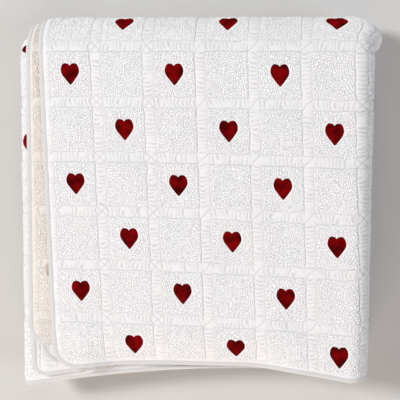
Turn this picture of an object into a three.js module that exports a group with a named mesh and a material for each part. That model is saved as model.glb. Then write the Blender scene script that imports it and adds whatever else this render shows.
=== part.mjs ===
// Bed quilt lying folded: sixteen layers, open bound edges to the front left, folds to the right and back.
// Millimetres, +Z up, +Y towards the thick fold, +X towards the side fold.
import * as THREE from 'three';

// Cloth: thickness of the quilted layers, and the height that each folded layer takes up.
const CLOTH_THICK = 5.8;
const LAYER_PITCH = 7.2;
const HALF_LAYERS = 8;

// Quilted face: closely quilted, flat blocks in a grid, divided by narrow sash strips that puff up.
const COLUMN_PITCH = 76;
const ROW_PITCH = 80;
const SASH_WIDTH = 15;
const PUFF_SLOPE = 6;
const PUFF_RISE = 1.2;
const TOP_COLUMNS = 6;
const FLAT_ROWS = 6;

// Plan of the folded stack, with the front left block's centre as zero.
const SIDE_FOLD_X = 425;
const OPEN_FOLD_X = -98;
const BACK_FOLD_Y = 429;
const HEM_Y = -26;
const HEM_BLEND = 60;
const TOP_BLEND = 36;
const FRONT_FOLD_INSET = 6;
const LEFT_MARGIN = 4;
const GRID_SHIFT = 3;
const GRID_LEAN = 19;
const ROW_DROP = 12.5;
const FRONT_SETTLE = 0.08;
const STACK_CENTRE_X = 168.7;
const STACK_CENTRE_Y = 205.15;

// Bound left edge and rounded corner of each open layer: x at the hem, x at the back fold, x at the far end.
const OPEN_EDGES = {
  top: { hemX: -39, backX: -55, endX: -62, corner: 31 },
  second: { hemX: -77, backX: -76, endX: -62, corner: 21 },
  third: { hemX: -60, backX: -64, endX: -68, corner: 30, hemLift: 30 },
  fourth: { hemX: -76, backX: -72, endX: -68, corner: 18, hemLift: 12 },
};

// Hems: all of them swing out towards both ends, the lower ones further.
const TOP_HEM = { leftX: 130, rightX: 240, middleY: -26, leftDrop: 9.5, rightDrop: 18, power: 1.6 };
const SECOND_HEM = { lag: 38, tuck: 9, swingX: 320 };
const LOWER_HEM = { middleX: 290, middleY: -32, leftDrop: 39, rightDrop: 14, power: 2 };
const NEST_STEP = 3;

// The top layer droops at the front, between its corner and the side fold, over the shorter layers below.
const DROOP = { height: 11, startY: 14, fromX: -8, fullX: 51.5, fadeX: 252.5, endX: 328.5 };
const LOWER_TUCK = 18;

// The side fold bulges out where it goes over the back fold: how far, and the angles round the back fold.
const BULGE = { out: 11, span: 60, angle: 50, spread: 20 };

// Binding: a rounded band that wraps every raw edge in one closed loop.
const BINDING_WIDTH = 7;
const BINDING_HALF = 2.7;
const PIECE_GAP = 0.6;

// Satin-stitched hearts on alternate blocks of the face that lies on top.
const HEART_WIDTH = 26.5;
const HEART_HEIGHT = 31;
const HEART_THICK = 0.9;
const HEART_GAP = 0.6;

// Right half of a heart from its notch to its tip, in shares of half its width and of its height.
const HEART_HALF = [
  { across: 0, up: 0.41 },
  { across: 0.3, up: 0.49 },
  { across: 0.62, up: 0.49 },
  { across: 0.9, up: 0.37 },
  { across: 1, up: 0.18 },
  { across: 0.91, up: 0 },
  { across: 0.7, up: -0.18 },
  { across: 0.42, up: -0.32 },
  { across: 0.18, up: -0.42 },
  { across: 0, up: -0.5 },
];

// Steps of the bends, in degrees.
const SIDE_BEND = [20, 40, 60, 80, 100, 122, 150, 180];
const TIGHT_BEND = [45, 90, 135, 180];
const BACK_BEND_FAR = [112, 134, 157, 180];
const FRONT_BEND = [0, 45, 90, 135, 180];

const COLOURS = { quilt: 0xf1eeea, binding: 0xf6f3ee, heart: 0x8c0f17 };

const HALF_PITCH = LAYER_PITCH / 2;
const HALF_THICK = CLOTH_THICK / 2;
const TOP_LEVEL = (HALF_LAYERS - 0.5) * LAYER_PITCH;
const MIDDLE_Z = TOP_LEVEL + HALF_THICK;
const SIDE_RADIUS = 3 * LAYER_PITCH;
const TIGHT_RADIUS = LAYER_PITCH;
const SIDE_CENTRE_X = SIDE_FOLD_X - SIDE_RADIUS - HALF_PITCH - HALF_THICK;
const OPEN_CENTRE_X = OPEN_FOLD_X + TIGHT_RADIUS + HALF_PITCH + HALF_THICK;

const radians = THREE.MathUtils.degToRad;
const lerp = THREE.MathUtils.lerp;
const clamp01 = (value) => THREE.MathUtils.clamp(value, 0, 1);

// Height of a layer above the stack's mid-plane, counted from the top.
const level = (layer) => (HALF_LAYERS + 0.5 - layer) * LAYER_PITCH;

// Lines across the top layer: edges of each sash strip and the foot of its puff, more at the rounded corner.
function topColumns() {
  const half = (COLUMN_PITCH - SASH_WIDTH) / 2;
  const edge = OPEN_EDGES.top.hemX;
  const lines = [
    { x: edge, puff: 0, plain: true },
    { x: edge + LEFT_MARGIN, puff: 0, plain: true },
    { x: edge + LEFT_MARGIN + PUFF_SLOPE, puff: 0 },
    { x: edge + OPEN_EDGES.top.corner * 0.7, puff: 0 },
    { x: edge + OPEN_EDGES.top.corner, puff: 0 },
  ];
  for (let column = 0; column < TOP_COLUMNS; column += 1) {
    const centre = column * COLUMN_PITCH;
    if (column > 0) {
      lines.push({ x: centre - half, puff: 1 });
      lines.push({ x: centre - half + PUFF_SLOPE, puff: 0 });
    }
    if (column < TOP_COLUMNS - 1) {
      lines.push({ x: centre + half - PUFF_SLOPE, puff: 0 });
      lines.push({ x: centre + half, puff: 1 });
    }
  }
  lines.push({ x: SIDE_CENTRE_X, puff: 0 });
  return lines;
}

// One line along the cloth for each place across its width, from one bound side edge to the other.
function acrossLines() {
  const lines = topColumns().map((line) => ({ run: 'top', ...line }));
  SIDE_BEND.forEach((angle) => lines.push({ run: 'side', angle: radians(angle), puff: 0 }));
  const under = [200, 30, OPEN_CENTRE_X];
  under.forEach((x) => lines.push({ run: 'under', x, puff: 0 }));
  TIGHT_BEND.forEach((angle) => lines.push({ run: 'open', angle: radians(angle), puff: 0 }));
  const over = [30, 200, SIDE_CENTRE_X];
  over.forEach((x) => lines.push({ run: 'over', x, puff: 0 }));
  TIGHT_BEND.forEach((angle) => lines.push({ run: 'inner', angle: radians(angle), puff: 0 }));
  const last = [200, 30];
  last.forEach((x) => lines.push({ run: 'last', x, puff: 0 }));
  const inset = [1, 0.62, 0.29, 0.08, 0];
  inset.forEach((share) => lines.push({ run: 'corner', share, puff: 0 }));
  return lines;
}

// Lines along the top layer: hem, sash strips and the feet of their puff, then the round of the back fold.
function alongLines() {
  const half = (ROW_PITCH - SASH_WIDTH) / 2;
  const lines = [
    { part: 'front', y: HEM_Y, puff: 0, plain: true },
    { part: 'front', y: HEM_Y + LEFT_MARGIN, puff: 0, plain: true },
  ];
  lines.push({ part: 'front', y: DROOP.startY, puff: 0 });
  for (let row = 0; row < FLAT_ROWS; row += 1) {
    const centre = row * ROW_PITCH;
    if (row > 0) {
      lines.push({ part: 'front', y: centre - half, puff: 1 });
      lines.push({ part: 'front', y: centre - half + PUFF_SLOPE, puff: 0 });
    }
    if (row < FLAT_ROWS - 1) {
      lines.push({ part: 'front', y: centre + half - PUFF_SLOPE, puff: 0 });
      lines.push({ part: 'front', y: centre + half, puff: 1 });
    }
  }
  const centre = FLAT_ROWS * ROW_PITCH;
  const round = [
    { y: BACK_FOLD_Y, puff: 0 },
    { y: centre - ROW_PITCH + half, puff: 1 },
    { y: centre - half, puff: 1 },
    { y: centre - half + PUFF_SLOPE, puff: 0 },
    { y: centre, puff: 0 },
    { y: centre + half - PUFF_SLOPE, puff: 0 },
    { y: centre + half, puff: 1 },
  ];
  const bends = round.map((line) => ({ angle: (line.y - BACK_FOLD_Y) / TOP_LEVEL, puff: line.puff }));
  BACK_BEND_FAR.forEach((angle) => bends.push({ angle: radians(angle), puff: 0, plain: true }));
  bends.forEach((bend) => lines.push({ part: 'back', turn: 0, ...bend }));
  FRONT_BEND.forEach((angle) => lines.push({ part: 'end', turn: radians(angle), puff: 0, plain: true }));
  bends.reverse().forEach((bend) => lines.push({ part: 'back', turn: Math.PI, angle: bend.angle, puff: 0 }));
  const returning = [240, 110, 50, HEM_Y];
  returning.forEach((y) => lines.push({ part: 'front', turn: Math.PI, y, puff: 0 }));
  return lines.map((line) => ({ turn: 0, ...line }));
}

// Share of the way from the hem, over the back fold, to the far end of the folded half.
function wayBack(line) {
  if (line.part === 'front') return { near: clamp01((line.y - HEM_Y) / (BACK_FOLD_Y - HEM_Y)), far: 0 };
  if (line.part === 'back') return { near: 1, far: line.angle / Math.PI / 2 };
  return { near: 1, far: 1 };
}

// Left edge of an open layer at a place along the cloth.
function openEdge(edge, way) {
  return lerp(lerp(edge.hemX, edge.backX, way.near), edge.endX, way.far);
}

// Left edge between the two sheets, which meet in the front fold of the lower half.
function pairedEdge(faceEdge, backEdge, way, turn) {
  const share = (1 - Math.cos(turn)) / 2;
  return lerp(openEdge(faceEdge, way), openEdge(backEdge, way), share);
}

// How far the side fold bulges out at a place along the cloth.
function bulge(along) {
  if (along.part === 'end') return 0;
  const angle = along.part === 'back' ? along.angle : (along.y - BACK_FOLD_Y) / TOP_LEVEL;
  return BULGE.out * Math.exp(-(((angle - radians(BULGE.angle)) / radians(BULGE.spread)) ** 2));
}

// Place on the top layer or round the side fold, at a distance beyond the start of that fold.
function sidePoint(beyond, out) {
  if (beyond <= 0) {
    const x = SIDE_CENTRE_X + beyond + out * clamp01(1 + beyond / BULGE.span);
    return { x, h: level(1.5), nx: 0, nh: 1 };
  }
  const nx = Math.sin(beyond / SIDE_RADIUS);
  const nh = Math.cos(beyond / SIDE_RADIUS);
  return { x: SIDE_CENTRE_X + out + SIDE_RADIUS * nx, h: level(4.5) + SIDE_RADIUS * nh, nx, nh };
}

// Place of a line in the folded cross-section, midway between the paired sheets, with its normal.
// The block grid leans, so its columns reach the side fold earlier at the back than at the front.
function sectionPoint(across, along) {
  const way = wayBack(along);
  const top = OPEN_EDGES.top;
  const lean = (GRID_SHIFT - GRID_LEAN * way.near) * (1 - way.far);
  if (across.run === 'top') {
    const shift = pairedEdge(top, OPEN_EDGES.second, way, along.turn) - top.hemX;
    const inset = across.x - top.hemX;
    const free = clamp01(inset / top.corner);
    const even = 1 - inset / (SIDE_CENTRE_X - top.hemX);
    const spread = lerp(way.far, 1, (1 - Math.cos(along.turn)) / 2);
    const beyond = across.x - SIDE_CENTRE_X + lean * free + shift * lerp(1 - free, even, spread);
    return sidePoint(beyond, bulge(along));
  }
  if (across.run === 'side') {
    return sidePoint(across.angle * SIDE_RADIUS + lean * (1 - across.angle / Math.PI), bulge(along));
  }
  if (across.run === 'under') return { x: across.x, h: level(7.5), nx: 0, nh: -1 };
  if (across.run === 'open') {
    const nx = -Math.sin(across.angle);
    const nh = -Math.cos(across.angle);
    return { x: OPEN_CENTRE_X + TIGHT_RADIUS * nx, h: level(6.5) + TIGHT_RADIUS * nh, nx, nh };
  }
  if (across.run === 'over') return { x: across.x, h: level(5.5), nx: 0, nh: 1 };
  if (across.run === 'inner') {
    const nx = -Math.sin(across.angle);
    const nh = Math.cos(across.angle);
    return { x: SIDE_CENTRE_X - TIGHT_RADIUS * nx, h: level(4.5) - TIGHT_RADIUS * nh, nx, nh };
  }
  if (across.run === 'last') return { x: across.x, h: level(3.5), nx: 0, nh: -1 };
  const left = pairedEdge(OPEN_EDGES.fourth, OPEN_EDGES.third, way, along.turn);
  return { x: left + across.share * OPEN_EDGES.third.corner, h: level(3.5), nx: 0, nh: -1 };
}

// Rise of a rounded corner above the straight hem, at a distance in from the side edge.
function cornerRise(radius, inset) {
  if (inset >= radius) return 0;
  return radius - Math.sqrt(radius ** 2 - (radius - inset) ** 2);
}

// Hem of the folded layers under the open ones.
function lowerHem(x) {
  const { middleX, middleY, leftDrop, rightDrop, power } = LOWER_HEM;
  if (x < middleX) return middleY - leftDrop * clamp01((middleX - x) / (middleX - OPEN_FOLD_X)) ** power;
  return middleY - rightDrop * clamp01((x - middleX) / (SIDE_FOLD_X - middleX)) ** power;
}

// Hem of the layer on top, which swings out towards the side fold and towards the open corner.
function topHem(x) {
  const { leftX, rightX, middleY, leftDrop, rightDrop, power } = TOP_HEM;
  const left = leftDrop * clamp01((leftX - x) / (leftX - OPEN_EDGES.top.hemX)) ** power;
  const right = rightDrop * clamp01((x - rightX) / (SIDE_CENTRE_X - rightX)) ** power;
  return middleY - left - right;
}

// Share of the way from the open corner to where the layers below the top one end further back.
function tucked(x) {
  return clamp01((x - DROOP.fromX) / (DROOP.fullX - DROOP.fromX));
}

// Hem of the second layer, which lags behind the first and swings out to meet it at the side fold.
function secondHem(x) {
  const { lag, tuck, swingX } = SECOND_HEM;
  return topHem(x) + (lag + tuck * tucked(x)) * (1 - THREE.MathUtils.smoothstep(x, swingX, SIDE_CENTRE_X));
}

// Front end of a line across the cloth: the hem of either sheet in the upper half.
function frontEnd(across, section, along) {
  const face = along.turn < Math.PI / 2;
  if (across.run === 'top') {
    const edge = face ? OPEN_EDGES.top : OPEN_EDGES.second;
    const inset = section.x - openEdge(edge, { near: 0, far: 0 });
    const hem = face ? topHem(section.x) : secondHem(section.x);
    return hem + cornerRise(edge.corner, inset);
  }
  if (across.run === 'side') {
    return lerp(topHem(SIDE_CENTRE_X), lowerHem(SIDE_CENTRE_X) + NEST_STEP, across.angle / Math.PI);
  }
  if (across.run === 'last' || across.run === 'corner') {
    const edge = face ? OPEN_EDGES.fourth : OPEN_EDGES.third;
    const inset = across.run === 'corner' ? across.share * OPEN_EDGES.third.corner : edge.corner;
    const hem = lowerHem(section.x) + edge.hemLift + LOWER_TUCK * tucked(section.x);
    return hem + cornerRise(edge.corner, inset);
  }
  return lowerHem(section.x) + (face ? 0 : NEST_STEP);
}

// How far the front of the top layer droops.
function droop(across, along) {
  if (across.run !== 'top' || along.turn > 0 || along.part !== 'front') return 0;
  const fading = clamp01((DROOP.endX - across.x) / (DROOP.endX - DROOP.fadeX));
  const forward = clamp01((DROOP.startY - along.y) / (DROOP.startY - HEM_Y));
  return DROOP.height * tucked(across.x) * fading * forward;
}

// How far the rows of blocks lie forward at the hem, more towards the side fold.
function rowDrop(across, x) {
  if (across.run === 'side') return ROW_DROP * (1 - across.angle / Math.PI);
  return across.run === 'top' ? ROW_DROP * clamp01(x / SIDE_CENTRE_X) ** 2 : 0;
}

// A point of the cloth, at a distance out from the middle of the paired sheets towards the quilted face.
function clothPoint(across, along, out) {
  let section = sectionPoint(across, along);
  const lift = out * Math.cos(along.turn);
  const x = section.x + lift * section.nx - STACK_CENTRE_X;
  const h = section.h + lift * section.nh;
  if (along.part === 'back') {
    const y = BACK_FOLD_Y + h * Math.sin(along.angle);
    return new THREE.Vector3(x, y - STACK_CENTRE_Y, MIDDLE_Z + h * Math.cos(along.angle));
  }
  if (along.part === 'end') {
    const y = lowerHem(section.x) + FRONT_FOLD_INSET - out * Math.sin(along.turn);
    return new THREE.Vector3(x, y - STACK_CENTRE_Y, MIDDLE_Z - h);
  }
  const reach = across.run === 'top' && along.turn === 0 ? TOP_BLEND : HEM_BLEND;
  const blend = clamp01(1 - (along.y - HEM_Y) / reach);
  const front = 1 - wayBack(along).near;
  const drop = rowDrop(across, section.x) * Math.sqrt(front);
  section = sectionPoint(across, { ...along, y: HEM_Y });
  const hemShift = frontEnd(across, section, along) + rowDrop(across, section.x) - HEM_Y;
  const y = along.y - drop + hemShift * blend;
  const z = MIDDLE_Z + h * (1 - FRONT_SETTLE * front) - droop(across, along);
  return new THREE.Vector3(x, y - STACK_CENTRE_Y, z);
}

// Distances of the quilted face and of the reverse from the middle of the paired sheets.
function faceOut(across, along) {
  const quilted = along.turn === 0 && across.run === 'top' && !across.plain && !along.plain;
  return HALF_PITCH + HALF_THICK + (quilted ? PUFF_RISE * Math.max(across.puff, along.puff) : 0);
}

const REVERSE_OUT = HALF_PITCH - HALF_THICK;

function namedMesh(name, points, triangles, colour) {
  const geometry = new THREE.BufferGeometry();
  geometry.setAttribute('position', new THREE.Float32BufferAttribute(points.flatMap((p) => p.toArray()), 3));
  geometry.setIndex(triangles.flat());
  geometry.computeVertexNormals();
  const mesh = new THREE.Mesh(geometry, new THREE.MeshStandardMaterial({ color: colour, roughness: 0.9 }));
  mesh.name = name;
  return mesh;
}

// The quilt: one sheet, its face and reverse joined along all four edges.
function buildQuilt(across, along) {
  const columns = across.length;
  const rows = along.length;
  const points = [];
  along.forEach((line) => across.forEach((place) => {
    points.push(clothPoint(place, line, faceOut(place, line)));
  }));
  along.forEach((line) => across.forEach((place) => points.push(clothPoint(place, line, REVERSE_OUT))));
  const face = (i, j) => j * columns + i;
  const reverse = (i, j) => rows * columns + j * columns + i;
  const triangles = [];
  const quad = (a, b, c, d) => triangles.push([a, b, c], [a, c, d]);
  for (let j = 0; j < rows - 1; j += 1) {
    for (let i = 0; i < columns - 1; i += 1) {
      quad(face(i, j), face(i + 1, j), face(i + 1, j + 1), face(i, j + 1));
      quad(reverse(i, j), reverse(i, j + 1), reverse(i + 1, j + 1), reverse(i + 1, j));
    }
    quad(face(0, j), face(0, j + 1), reverse(0, j + 1), reverse(0, j));
    const far = columns - 1;
    quad(face(far, j), reverse(far, j), reverse(far, j + 1), face(far, j + 1));
  }
  for (let i = 0; i < columns - 1; i += 1) {
    quad(face(i, 0), reverse(i, 0), reverse(i + 1, 0), face(i + 1, 0));
    quad(face(i, rows - 1), face(i + 1, rows - 1), reverse(i + 1, rows - 1), reverse(i, rows - 1));
  }
  return namedMesh('quilt', points, triangles, COLOURS.quilt);
}

// Grid places along the four edges of the cloth, as one loop.
function edgeLoop(columns, rows) {
  const loop = [];
  for (let j = 0; j < rows - 1; j += 1) loop.push([0, j]);
  for (let i = 0; i < columns - 1; i += 1) loop.push([i, rows - 1]);
  for (let j = rows - 1; j > 0; j -= 1) loop.push([columns - 1, j]);
  for (let i = columns - 1; i > 0; i -= 1) loop.push([i, 0]);
  return loop;
}

// The binding: a rounded section swept around the edge loop, just clear of the cloth's edge.
function buildBinding(across, along) {
  const section = [
    { out: PIECE_GAP, up: -0.7 },
    { out: BINDING_WIDTH * 0.45, up: -1 },
    { out: BINDING_WIDTH, up: -0.45 },
    { out: BINDING_WIDTH, up: 0.45 },
    { out: BINDING_WIDTH * 0.45, up: 1 },
    { out: PIECE_GAP, up: 0.7 },
  ];
  const loop = edgeLoop(across.length, along.length);
  const place = ([i, j], out) => clothPoint(across[i], along[j], out);
  const middle = loop.map((spot) => place(spot, HALF_PITCH));
  const points = [];
  loop.forEach((spot, index) => {
    const before = middle[(index + loop.length - 1) % loop.length];
    const after = middle[(index + 1) % loop.length];
    const here = middle[index];
    const toward = after.clone().sub(here).normalize();
    const from = here.clone().sub(before).normalize();
    const tangent = toward.add(from).normalize();
    const normal = place(spot, HALF_PITCH + HALF_THICK).sub(here).normalize();
    const outward = normal.clone().cross(tangent).normalize();
    const upright = tangent.clone().cross(outward).normalize();
    section.forEach(({ out, up }) => {
      const point = here.clone().addScaledVector(outward, out);
      points.push(point.addScaledVector(upright, up * BINDING_HALF));
    });
  });
  const sides = section.length;
  const triangles = [];
  for (let k = 0; k < loop.length; k += 1) {
    const next = (k + 1) % loop.length;
    for (let side = 0; side < sides; side += 1) {
      const turn = (side + 1) % sides;
      const corner = [k * sides + side, k * sides + turn, next * sides + turn, next * sides + side];
      triangles.push([corner[0], corner[1], corner[2]], [corner[0], corner[2], corner[3]]);
    }
  }
  return namedMesh('binding', points, triangles, COLOURS.binding);
}

// Outline of a heart, point down, as offsets from its centre, against the clock.
function heartOutline() {
  const right = HEART_HALF.map(({ across: a, up }) => ({ x: a * HEART_WIDTH / 2, y: up * HEART_HEIGHT }));
  const left = right.slice(1, -1).map(({ x, y }) => ({ x: -x, y }));
  return [...left, ...right.reverse()];
}

// A line along the cloth at any distance from the front left block's centre.
function faceLine(y) {
  if (y <= BACK_FOLD_Y) return { part: 'front', turn: 0, y };
  return { part: 'back', turn: 0, angle: (y - BACK_FOLD_Y) / TOP_LEVEL };
}

// A heart: a thin padded shape just clear of the block under it.
function buildHeart(column, row) {
  const outline = heartOutline();
  const centre = { x: column * COLUMN_PITCH, y: row * ROW_PITCH };
  const base = HALF_PITCH + HALF_THICK + HEART_GAP;
  const place = ({ x, y }, out) => clothPoint({ run: 'top', x: centre.x + x }, faceLine(centre.y + y), out);
  const origin = { x: 0, y: 0 };
  const points = outline.map((spot) => place(spot, base));
  outline.forEach((spot) => points.push(place(spot, base + HEART_THICK)));
  points.push(place(origin, base), place(origin, base + HEART_THICK));
  const count = outline.length;
  const triangles = [];
  for (let k = 0; k < count; k += 1) {
    const next = (k + 1) % count;
    triangles.push([2 * count, next, k], [2 * count + 1, count + k, count + next]);
    triangles.push([k, next, count + next], [k, count + next, count + k]);
  }
  return namedMesh(`heart_r${row}_c${column}`, points, triangles, COLOURS.heart);
}

const across = acrossLines();
const along = alongLines();
const quilt = new THREE.Group();
quilt.name = 'folded_quilt';
quilt.add(buildQuilt(across, along));
quilt.add(buildBinding(across, along));
for (let row = 0; row <= FLAT_ROWS; row += 1) {
  for (let column = (row + 1) % 2; column < TOP_COLUMNS; column += 2) quilt.add(buildHeart(column, row));
}

export default quilt;
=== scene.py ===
"""A folded white quilt with red satin-stitched hearts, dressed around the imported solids.

Lengths are in millimetres until a mesh is written. A place on the cloth is given by where it lies when the
quilt is spread flat: u across and v along, from the centre of the front left block of the layer on top.
"""

import logging
import math
from dataclasses import dataclass, field
from enum import Enum
from typing import Sequence

import bmesh
import bpy
import numpy as np
from mathutils import Matrix, Vector

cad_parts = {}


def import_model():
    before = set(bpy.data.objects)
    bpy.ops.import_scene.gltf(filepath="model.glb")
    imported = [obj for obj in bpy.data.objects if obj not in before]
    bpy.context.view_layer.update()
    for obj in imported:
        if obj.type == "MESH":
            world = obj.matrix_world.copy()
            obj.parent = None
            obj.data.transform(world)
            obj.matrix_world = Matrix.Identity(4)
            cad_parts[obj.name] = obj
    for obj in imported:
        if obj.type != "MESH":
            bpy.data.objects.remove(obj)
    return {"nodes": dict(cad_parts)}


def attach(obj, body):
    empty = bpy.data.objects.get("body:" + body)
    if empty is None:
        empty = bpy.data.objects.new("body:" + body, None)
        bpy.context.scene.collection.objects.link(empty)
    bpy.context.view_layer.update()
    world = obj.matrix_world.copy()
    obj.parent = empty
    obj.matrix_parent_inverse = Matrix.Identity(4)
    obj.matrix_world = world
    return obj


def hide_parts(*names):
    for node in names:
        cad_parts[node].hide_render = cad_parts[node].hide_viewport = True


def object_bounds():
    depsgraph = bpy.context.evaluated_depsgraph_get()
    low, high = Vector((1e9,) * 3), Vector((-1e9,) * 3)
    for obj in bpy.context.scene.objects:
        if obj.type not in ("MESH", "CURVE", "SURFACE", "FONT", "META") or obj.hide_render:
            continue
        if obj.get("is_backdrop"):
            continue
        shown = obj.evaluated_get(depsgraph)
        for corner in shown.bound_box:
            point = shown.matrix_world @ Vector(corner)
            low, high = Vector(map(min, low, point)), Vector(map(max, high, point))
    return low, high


LOG = logging.getLogger("quilt")
MM = 0.001
BODY = "root"
SQUARE_EDGE = math.radians(72)
WAVE_BANDS = 20

Array = np.ndarray
Tree, Node, Socket = bpy.types.NodeTree, bpy.types.Node, bpy.types.NodeSocket
Span, Point = tuple[float, float], tuple[float, float, float]
Mesh, Piece, Material = bpy.types.Mesh, bpy.types.Object, bpy.types.Material


def lerp(a: Array | float, b: Array | float, share: Array | float) -> Array | float:
    """Blend a into b by a share."""
    return a + (b - a) * share


def clamp01(value: Array | float) -> Array:
    """Hold a value between 0 and 1."""
    return np.clip(value, 0.0, 1.0)


def smooth(value: Array | float) -> Array:
    """A soft step from 0 to 1."""
    held = clamp01(value)
    return held * held * (3.0 - 2.0 * held)


def bell(value: Array) -> Array:
    """A bell curve, 1 at 0."""
    return np.exp(-(value**2))


class Run(Enum):
    """Stretches of the cloth across its width, from the bound edge on top to the other bound edge."""

    TOP = 0
    SIDE = 1
    UNDER = 2
    OPEN = 3
    OVER = 4
    INNER = 5
    LAST = 6


class Part(Enum):
    """Stretches of the cloth along its length, from the hem on top to the fold at the front underneath."""

    FRONT = 0
    BACK = 1
    BOTTOM = 2
    END = 3


class Sheet(Enum):
    """The two halves of the cloth that lie back to back through all the folds."""

    FIRST = 0
    SECOND = 1


@dataclass(frozen=True)
class OpenEdge:
    """Where one bound side edge lies: its x at the hem, at the back fold and underneath, and its corner."""

    hem_x: float
    back_x: float
    end_x: float
    corner: float
    hem_lift: float = 0.0

    def at(self, near: Array, far: Array) -> Array:
        """The edge's x at a share of the way to the back fold and beyond it."""
        return lerp(lerp(self.hem_x, self.back_x, near), self.end_x, far)

    def rise(self, inset: Array) -> Array:
        """How far the rounded corner lifts the hem at a distance from the edge."""
        left = np.clip(self.corner - inset, 0.0, self.corner)
        return self.corner - np.sqrt(self.corner**2 - left**2)


@dataclass(frozen=True)
class Along:
    """Places along the cloth: the stretch, the place on it, and the turn from one sheet to the other."""

    part: Array
    at: Array
    turn: Array

    @classmethod
    def joined(cls, *lines: "Along") -> "Along":
        """Places one after the other."""
        keys = ("part", "at", "turn")
        return cls(*(np.concatenate([getattr(line, key) for line in lines]) for key in keys))

    def column(self) -> "Along":
        """The same places as a column, to be crossed with a row of places across."""
        return Along(self.part[:, None], self.at[:, None], self.turn[:, None])


@dataclass(frozen=True)
class Fold:
    """How the flat cloth is folded into the stack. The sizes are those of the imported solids."""

    cloth_thick: float = 5.8
    layer_pitch: float = 7.2
    half_layers: int = 8
    side_nest: int = 3
    side_fold_x: float = 425.0
    open_fold_x: float = -98.0
    back_fold_y: float = 429.0
    hem_y: float = -26.0
    hem_blend: float = 60.0
    top_blend: float = 36.0
    front_fold_inset: float = 6.0
    grid_shift: float = 3.0
    grid_lean: float = 19.0
    row_drop: float = 12.5
    front_settle: float = 0.08
    centre_x: float = 168.7
    centre_y: float = 205.15
    nest_step: float = 3.0
    top: OpenEdge = OpenEdge(-39.0, -55.0, -62.0, 31.0)
    second: OpenEdge = OpenEdge(-77.0, -76.0, -62.0, 21.0)
    third: OpenEdge = OpenEdge(-60.0, -64.0, -68.0, 30.0, hem_lift=30.0)
    fourth: OpenEdge = OpenEdge(-76.0, -72.0, -68.0, 18.0, hem_lift=12.0)
    top_hem_middle: float = -26.0
    top_hem_left: Span = (130.0, 9.5)
    top_hem_right: Span = (240.0, 18.0)
    top_hem_power: float = 1.6
    second_hem_lag: float = 38.0
    second_hem_tuck: float = 9.0
    second_hem_swing: float = 320.0
    lower_hem_middle: Span = (290.0, -32.0)
    lower_hem_drops: Span = (39.0, 14.0)
    lower_tuck: float = 18.0
    droop_height: float = 11.0
    droop_start: float = 14.0
    droop_round: float = 8.0
    droop_rise: Span = (-8.0, 51.5)
    droop_fade: Span = (252.5, 328.5)
    bulge_out: float = 11.0
    bulge_span: float = 60.0
    bulge_angle: float = math.radians(50.0)
    bulge_spread: float = math.radians(20.0)

    @property
    def half_pitch(self) -> float:
        """Half the distance between two layers."""
        return self.layer_pitch / 2

    @property
    def half_thick(self) -> float:
        """Half the cloth's thickness."""
        return self.cloth_thick / 2

    @property
    def face_out(self) -> float:
        """Distance of the quilted face from the middle between the two sheets."""
        return self.half_pitch + self.half_thick

    @property
    def reverse_out(self) -> float:
        """Distance of the reverse from the middle between the two sheets."""
        return self.half_pitch - self.half_thick

    @property
    def side_radius(self) -> float:
        """Radius of the wide fold at the right."""
        return self.side_nest * self.layer_pitch

    @property
    def side_x(self) -> float:
        """Centre of the folds at the right."""
        return self.side_fold_x - self.side_radius - self.face_out

    @property
    def open_x(self) -> float:
        """Centre of the fold at the left."""
        return self.open_fold_x + self.layer_pitch + self.face_out

    @property
    def middle_z(self) -> float:
        """Height of the stack's mid-plane."""
        return self.half_layers * self.layer_pitch - self.half_pitch + self.half_thick

    @property
    def back_radius(self) -> float:
        """Radius at which the layer on top goes round the back fold."""
        return self.level(1)

    def level(self, layer: float) -> float:
        """Height of a layer above the mid-plane, counted from the top."""
        return (self.half_layers + 0.5 - layer) * self.layer_pitch

    def runs(self) -> dict[Run, Span]:
        """Where each stretch across begins and ends on the flat cloth.

        Returns:
            The start and end of each stretch.
        """
        wide = math.pi * (self.side_radius + self.half_pitch)
        tight = math.pi * self.layer_pitch
        lengths = {
            Run.SIDE: wide,
            Run.UNDER: self.side_x - self.open_x,
            Run.OPEN: math.pi * (self.layer_pitch + self.half_pitch),
            Run.OVER: self.side_x - self.open_x,
            Run.INNER: tight,
            Run.LAST: self.side_x - self.third.hem_x,
        }
        spans = {Run.TOP: (self.top.hem_x, self.side_x)}
        start = self.side_x
        for run, length in lengths.items():
            spans[run] = (start, start + length)
            start += length
        return spans

    def across(self, u: Array) -> tuple[Array, Array]:
        """Turn distances across the flat cloth into stretches and places on them.

        Args:
            u: Distances across the flat cloth.

        Returns:
            The number of each place's stretch, and its share of that stretch.
        """
        kinds = np.zeros(u.shape, int)
        shares = np.zeros(u.shape)
        for run, (start, end) in self.runs().items():
            here = (u >= start) if run is not Run.TOP else np.ones(u.shape, bool)
            kinds = np.where(here, run.value, kinds)
            shares = np.where(here, (u - start) / (end - start), shares)
        return kinds, shares

    def along(self, v: Array, sheet: Sheet = Sheet.FIRST) -> Along:
        """Turn distances along the flat cloth into stretches and places on them.

        Args:
            v: Distances along the flat cloth, from the hem towards the front fold underneath.
            sheet: The half of the cloth.

        Returns:
            The places along the cloth.
        """
        angle = (v - self.back_fold_y) / self.back_radius
        beyond = (v - self.back_end()) / self.bottom_length()
        part = np.where(beyond <= 0, Part.BACK.value, Part.BOTTOM.value)
        part = np.where(angle <= 0, Part.FRONT.value, part)
        at = np.where(angle <= 0, v, np.where(beyond <= 0, angle, beyond))
        return Along(part, at, np.full(v.shape, math.pi * sheet.value))

    def end(self, turn: Array) -> Along:
        """Places round the fold at the front underneath, from the first sheet to the second."""
        return Along(np.full(turn.shape, Part.END.value), turn, turn)

    def back_end(self) -> float:
        """Where the back fold ends on the flat cloth."""
        return self.back_fold_y + math.pi * self.back_radius

    def bottom_length(self) -> float:
        """Length of the layer underneath."""
        return self.back_fold_y - self.lower_hem_middle[1]

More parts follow.
